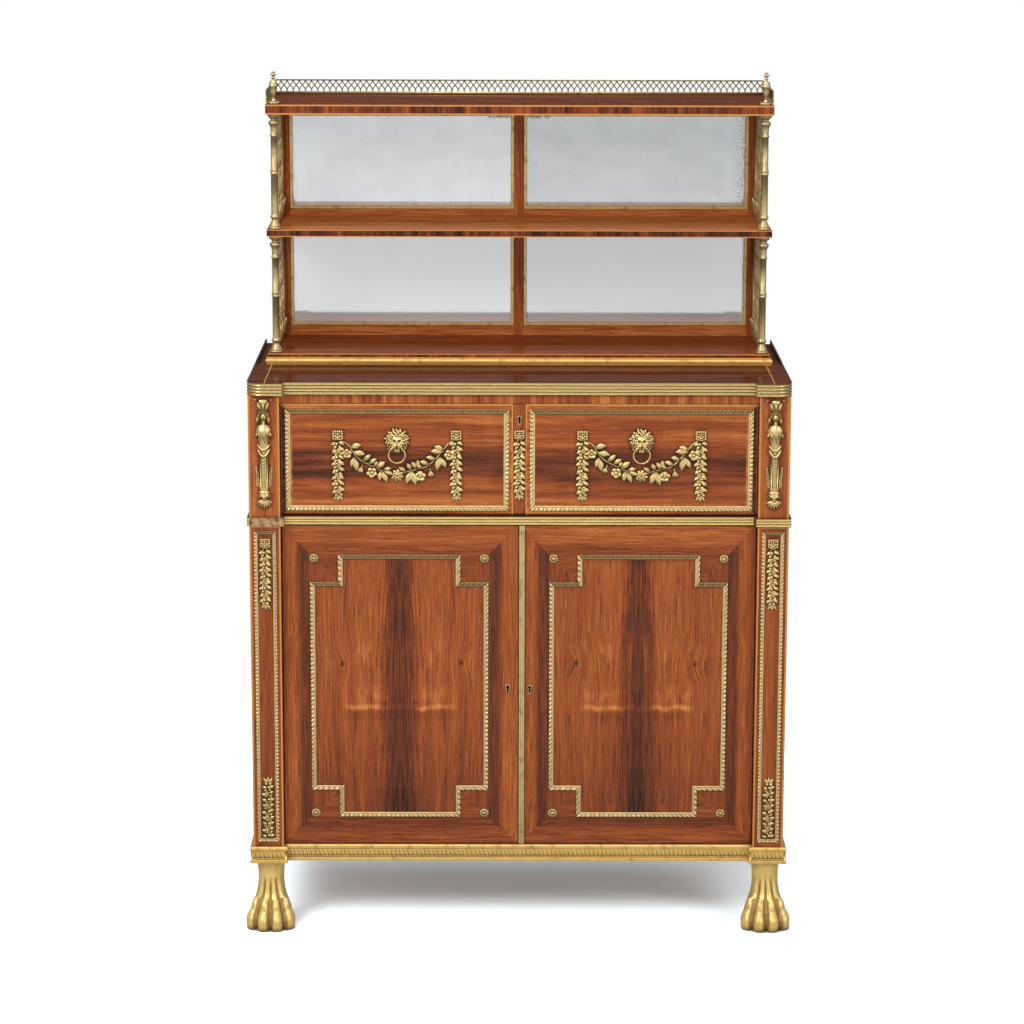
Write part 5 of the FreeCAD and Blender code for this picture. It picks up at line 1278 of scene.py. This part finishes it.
columns = Casting()
for low, tall in TIERS:
    middle = tall / 2
    profile = [
        (0, 4), (9.0, 4), (9.2, 5.2), (8.6, 6.4), (8.2, 7.0), (7.9, 8.8), (6.9, 10.8), (5.9, 13.2), (5.3, 16),
        (5.3, 17), (6.6, 18), (7.6, 19.4), (7.8, 21), (7.4, 22.6), (6.2, 23.8), (6.1, 25), (6.0, 27),
        (5.9, middle - 4.4), (6.9, middle - 3.8), (7.2, middle - 2.6), (6.4, middle - 1.4),
        (6.4, middle + 1.4), (7.2, middle + 2.6), (6.9, middle + 3.8), (5.8, middle + 4.4),
        (5.6, tall - 38), (6.8, tall - 37.4),
        (7.1, tall - 36), (6.8, tall - 34.6), (5.6, tall - 34), (5.6, tall - 30), (5.9, tall - 24),
        (6.7, tall - 20), (8.0, tall - 17.6), (9.3, tall - 15.4), (9.4, tall - 13.8), (8.6, tall - 12),
        (6.4, tall - 10.6), (5.4, tall - 9.6), (5.3, tall - 8.2), (6.6, tall - 7.2), (7.4, tall - 6.0),
        (8.6, tall - 4.6), (8.6, tall - 4), (0, tall - 4),
    ]
    for x in (-COLUMN_X, COLUMN_X):
        columns.add(lathe(profile), shifted(x, COLUMN_Y, low))
        square_foot(columns, x, low)
        square_foot(columns, x, low + tall - FOOT_HIGH)
columns.piece("brass_colonettes", cast_brass, "cabinet", ["colonettes"])

URN = [
    (0, 4), (5.6, 4), (5.7, 5.2), (4.9, 6.4), (3.2, 7.8), (2.2, 9.6), (2.1, 11.2), (3.0, 12.2), (3.1, 13.2),
    (4.1, 14.8), (5.2, 19), (6.1, 24), (6.7, 28.4), (7.4, 29.6), (7.6, 30.6), (7.4, 31.6), (6.9, 32.4),
    (7.1, 35.2), (6.8, 36.8), (5.0, 38.6), (3.0, 40.2), (2.0, 41.6), (2.0, 42.4), (3.6, 43.2), (3.8, 44.0),
    (3.4, 44.8), (1.8, 45.6), (1.7, 46.4), (3.6, 48.0), (5.6, 49.4), (4.6, 50.3), (2.2, 51.2), (2.9, 52.4),
    (3.3, 53.4), (2.8, 54.4), (1.6, 54.9), (0, 55),
]


def urn_lobes(angle, height):
    """Petals on the bud and shallow gadroons on the bowl."""
    bud = ease(height, 46.4, 48) * (1 - ease(height, 50.2, 51))
    bowl = ease(height, 13, 16) * (1 - ease(height, 26, 28))
    return 1 - 0.30 * bud * np.abs(np.sin(3 * angle)) - 0.07 * bowl * np.abs(np.sin(6 * angle))


urns = Casting()
for x in (-COLUMN_X, COLUMN_X):
    urns.add(lathe(URN, 48, urn_lobes), shifted(x, COLUMN_Y, TOP_SHELF_Z))
    square_foot(urns, x, TOP_SHELF_Z)
urns.piece("brass_urns", cast_brass, "cabinet", ["finials"])


def gallery(casting, foot, long, move):
    """Posts that branch into a lattice of crossing arches between a foot rail and a top rail."""
    high, base, spring, rail = 25.0, 4.2, 7.0, 1.2
    inset = 0.8
    posts = round(long / 10.75)
    pitch = long / posts
    foot.add(block((0, long), (-1.1, 1.1), (0, base)), move)
    casting.add(tube([(0, 0, high - rail), (long, 0, high - rail)], rail), move)
    share = np.linspace(0, 1, 9)
    bow = 0.06 * np.sin(2 * math.pi * share)
    side = (share - bow) * pitch
    rise = spring + (high - 1.6 - spring) * share
    for index in range(posts + 1):
        x = min(max(index * pitch, inset), long - inset)
        casting.add(tube([(x, 0, base - 0.3), (x, 0, spring + 2.0)], (1.50, 1.30), 6), move)
        for way in (-1, 1):
            inside = (x + way * side >= 0) & (x + way * side <= long)
            if inside.sum() > 2:
                arch = stack(x + way * side, np.full(9, 0.25 * way), rise)[inside]
                casting.add(tube(arch, 1.15, 6), move)


def along_side(x, y, z):
    """Turns a shape that runs along X so that it runs back from a front place."""
    return lambda points: stack(x + points[:, 1], y + points[:, 0], z + points[:, 2])


rails = Casting()
foot_rails = Casting()
gallery(rails, foot_rails, 2 * GALLERY_HALF, shifted(-GALLERY_HALF, GALLERY_BACK_Y, TOP_SHELF_Z))
for x in (-GALLERY_SIDE_X, GALLERY_SIDE_X):
    gallery(rails, foot_rails, GALLERY_SIDE_LONG, along_side(x, GALLERY_FRONT_Y, TOP_SHELF_Z))
foot_rails.piece("brass_gallery_foot", brass, "cabinet")
rails.piece("brass_gallery", gallery_brass, "cabinet", ["gallery"])


def upright(x, y, z, way):
    """Stands a relief shape against the side of a rear post, a little sunk, turned about its axis."""
    sunk = 0.8
    cosine, sine = math.cos(way), math.sin(way)

    def move(points):
        a, b, out = points.T
        far = REAR_POST_RADIUS - sunk + out
        return stack(x + far * cosine - b * sine, y + far * sine + b * cosine, z + a)
    return move


def facing(x, y, z, side):
    """Lays a relief shape on the left or right face of a grille."""
    def move(points):
        a, b, out = points.T
        return stack(x + side * (GRILLE_HALF + out), y + a * side, z + b)
    return move


def rear_post(casting, x, y, z, tall):
    """A slim rear post of the grille with a leafy foot."""
    inset = 2
    casting.add(tube([(x, y, z + inset), (x, y, z + tall - inset)], REAR_POST_RADIUS, 14))
    collar = [(3.0, -2), (4.6, -1), (4.8, 0), (4.6, 1), (3.0, 2)]
    for height in (8, 34, tall - 12):
        casting.add(lathe(collar, 18), shifted(x, y, z + height))
    for index in range(8):
        casting.add(leaf(30, 8, 2.0, 4.0), upright(x, y, z + inset, index * math.pi / 4))


grille_trim = Casting()
for low, tall in TIERS:
    for x in (-COLUMN_X, COLUMN_X):
        rear_post(grille_trim, x, REAR_POST_Y, low, tall)
        for share in (0.25, 0.5, 0.75):
            for column in range(1, 4):
                y = GRILLE_FRONT + GRILLE_LONG * column / 4
                for side in (-1, 1):
                    grille_trim.add(boss(5.0, 8, 2.2), facing(x, y, low + tall * share, side))
grille_trim.piece("brass_grille_trim", cast_brass, "cabinet")

# Materials on the pieces that keep their own shape


def node_box(name):
    low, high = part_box(name)
    return tuple(low / MM), tuple(high / MM)


finishes = [
    (side_veneer(), ["case_sides"]),
    (wood("carcase_back", CARCASE, 0.54, "z", DULL), ["case_back"]),
    (pilaster_veneer(), ["pilasters"]),
    (wood("rosewood_frieze", ROSEWOOD, 0.66, "z", broad=1.1, fine=1.0, coarse=0.8), ["frieze_rail"]),
    (wood("carcase_across", CARCASE, 0.56, "x"),
     ["bottom_board", "division_board", "cupboard_shelf", "drawer_back"]),
    (wood("carcase_deep", CARCASE, 0.56, "y"), ["shelf_bearers", "drawer_runners", "drawer_cheeks"]),
    (wood("rosewood_plinth", ROSEWOOD, 0.50, "x"), ["plinth_frame"]),
    (wood("rosewood_feet", ROSEWOOD, 0.48, "z"), ["rear_feet"]),
    (top_veneer(), ["top_board"]),
    (reeded_brass("brass_top_edge", (0.74, 0.54, 0.22), 920, 5.25, 941), ["top_edge_moulding"]),
    (reeded_brass("brass_mid_band", (0.98, 0.71, 0.27), 699.5, 4.667, 713.5), ["mid_moulding"]),
    (plain_gilt, ["plinth_moulding", "stand_bead"]),
    (bare_core(), ["bare_moulding_core"]),
    (shelf_veneer("rosewood_base_shelf", 951.5, 959.5, 0.50), ["stand_base"]),
    # painted light: the middle shelf's top is made lighter to make up for the shade of the top shelf above it
    (shelf_veneer("rosewood_middle_shelf_painted_light", 1159.5, 1171.5, 0.80, 1.5, 0.28), ["middle_shelf"]),
    (shelf_veneer("rosewood_top_shelf", 1366, TOP_SHELF_Z, 0.27, 2.6), ["top_shelf"]),
    (mirror_wood(), ["mirror_frame"]),
    (old_mirror(), ["mirror_plates"]),
    (bead_gilt, ["mirror_beads"]),
    (brass, ["side_grilles", "case_pivot_plates", "left_door_pivots", "right_door_pivots", "right_door_lock",
             "fall_pivot_plates", "fall_lock", "quadrant_stays"]),
    (strip_brass, ["meeting_strip"]),
    (door_veneer(), ["left_door_board", "right_door_board"]),
    (fall_veneer(), ["fall_board"]),
    (wood("satinwood", SATINWOOD, 0.55, "x"), ["pigeonholes"]),
    (wood("rosewood_writing", ROSEWOOD, 0.55, "x"), ["drawer_bottom"]),
    (leather("leather_writing", node_box("writing_leather")), ["writing_leather"]),
    (leather("leather_fall", node_box("fall_leather")), ["fall_leather"]),
    (steel(), ["fall_pins"]),
    (drawer_wood(), ["left_lower_small_drawer", "left_upper_small_drawer",
                     "right_lower_small_drawer", "right_upper_small_drawer"]),
]
for finish, names in finishes:
    for name in names:
        for slot in nodes[name].material_slots:
            slot.material = finish

# Studio


def rays(tree):
    """Rays from the eye, also through glass, and rays from polished surfaces."""
    paths = tree.add("ShaderNodeLightPath")
    eye = Value(tree, paths.outputs["Is Camera Ray"])
    through = Value(tree, paths.outputs["Is Transmission Ray"])
    return eye.most(through), Value(tree, paths.outputs["Is Glossy Ray"])


def studio_floor():
    """A pale floor that keeps the shadow near the cabinet and fades into the white background."""
    size = 40.0
    mesh = bpy.data.meshes.new("floor")
    corners = [(-size, -size, 0), (size, -size, 0), (size, size, 0), (-size, size, 0)]
    mesh.from_pydata(corners, [], [(0, 1, 2, 3)])
    floor = bpy.data.objects.new("floor", mesh)
    floor.location.z = -0.0005
    bpy.context.scene.collection.objects.link(floor)
    paint = Paint("pale_floor")
    far = (paint.x * paint.x + paint.y * paint.y).math("SQRT").over(900, 2000)
    camera_ray, glossy_ray = rays(paint)
    matt = paint.add("ShaderNodeBsdfDiffuse")
    # painted shadow: the floor is darkened close to the feet and paws, as a contact shadow
    free_of_painted_contact_shadow = paint.open_air(16).over(0.30, 0.85)
    bright = paint.mix(far, paint.mix(free_of_painted_contact_shadow, (0.5, 0.5, 0.5), (2.35, 2.65, 2.80)), (0.0, 0.0, 0.0))
    other = paint.mix(glossy_ray, (0.78, 0.80, 0.80), (0.10, 0.10, 0.10))
    paint.feed(matt.inputs["Color"], paint.mix(camera_ray, other, bright))
    ahead = (0 - paint.y).over(350, 900) * 0.45 + (0 - paint.y).over(2400, 4200) * 0.40
    glow = paint.add("ShaderNodeEmission")
    paint.feed(glow.inputs["Strength"], camera_ray * far + glossy_ray * (ahead + 0.12))
    both = paint.add("ShaderNodeAddShader")
    paint.feed(both.inputs[0], matt.outputs[0])
    paint.feed(both.inputs[1], glow.outputs[0])
    paint.feed(paint.tree.nodes["Material Output"].inputs["Surface"], both.outputs[0])
    mesh.materials.append(paint.material)


def studio_world():
    """White to the eye; to polished surfaces brighter above than below; plain light for the rest."""
    world = bpy.data.worlds.new("studio")
    bpy.context.scene.world = world
    world.use_nodes = True
    world.node_tree.nodes.clear()
    sky = Nodes(world.node_tree)
    seen, glossy = rays(sky)
    lit = 1 - seen.most(glossy)
    y, z = sky.split(sky.add("ShaderNodeTexCoord").outputs["Generated"])[1:]
    low, high, behind, diffuse = 0.112, 0.84, 0.5, 0.44
    polished = between(z.over(-0.25, 0.65), low, high) * between(y.over(-0.3, 0.3), 1, behind)
    background = sky.add("ShaderNodeBackground")
    sky.feed(background.inputs["Color"], (1, 1, 1))
    sky.feed(background.inputs["Strength"], seen + glossy * polished + lit * diffuse)
    output = sky.add("ShaderNodeOutputWorld")
    sky.feed(output.inputs["Surface"], background.outputs[0])


def lamp(name, place, aim, size, power):
    """A large soft rectangular lamp."""
    light = bpy.data.lights.new(name, "AREA")
    light.shape = "RECTANGLE"
    light.size, light.size_y = size
    light.energy = power
    item = bpy.data.objects.new(name, light)
    item.location = place
    item.rotation_euler = (Vector(aim) - Vector(place)).to_track_quat("-Z", "Y").to_euler()
    bpy.context.scene.collection.objects.link(item)


studio_floor()
studio_world()
lamp("key", (-2.4, -3.4, 3.3), (0, 0, 0.75), (1.8, 1.8), 95)
lamp("fill", (2.8, -3.2, 2.0), (0, 0, 0.7), (1.6, 2.2), 34)
lamp("overhead", (-0.3, -0.4, 3.6), (0, 0, 0.9), (2.4, 1.6), 45)

# Camera at the photograph's angle

camera_data = bpy.data.cameras.new("camera")
camera_data.sensor_width = 36.0
camera_data.lens = 118.70
camera_data.shift_x = -0.0023
camera = bpy.data.objects.new("camera", camera_data)
place = Matrix.Translation((-0.0268, -5.7090, 1.85915))
yaw = Matrix.Rotation(-0.0034, 4, "Z")
pitch = Matrix.Rotation(math.radians(90 - 11.642), 4, "X")
roll = Matrix.Rotation(0.0026, 4, "Z")
camera.matrix_world = place @ (yaw @ pitch @ roll)
bpy.context.scene.collection.objects.link(camera)
bpy.context.scene.camera = camera
bpy.context.scene.view_settings.view_transform = "Standard"
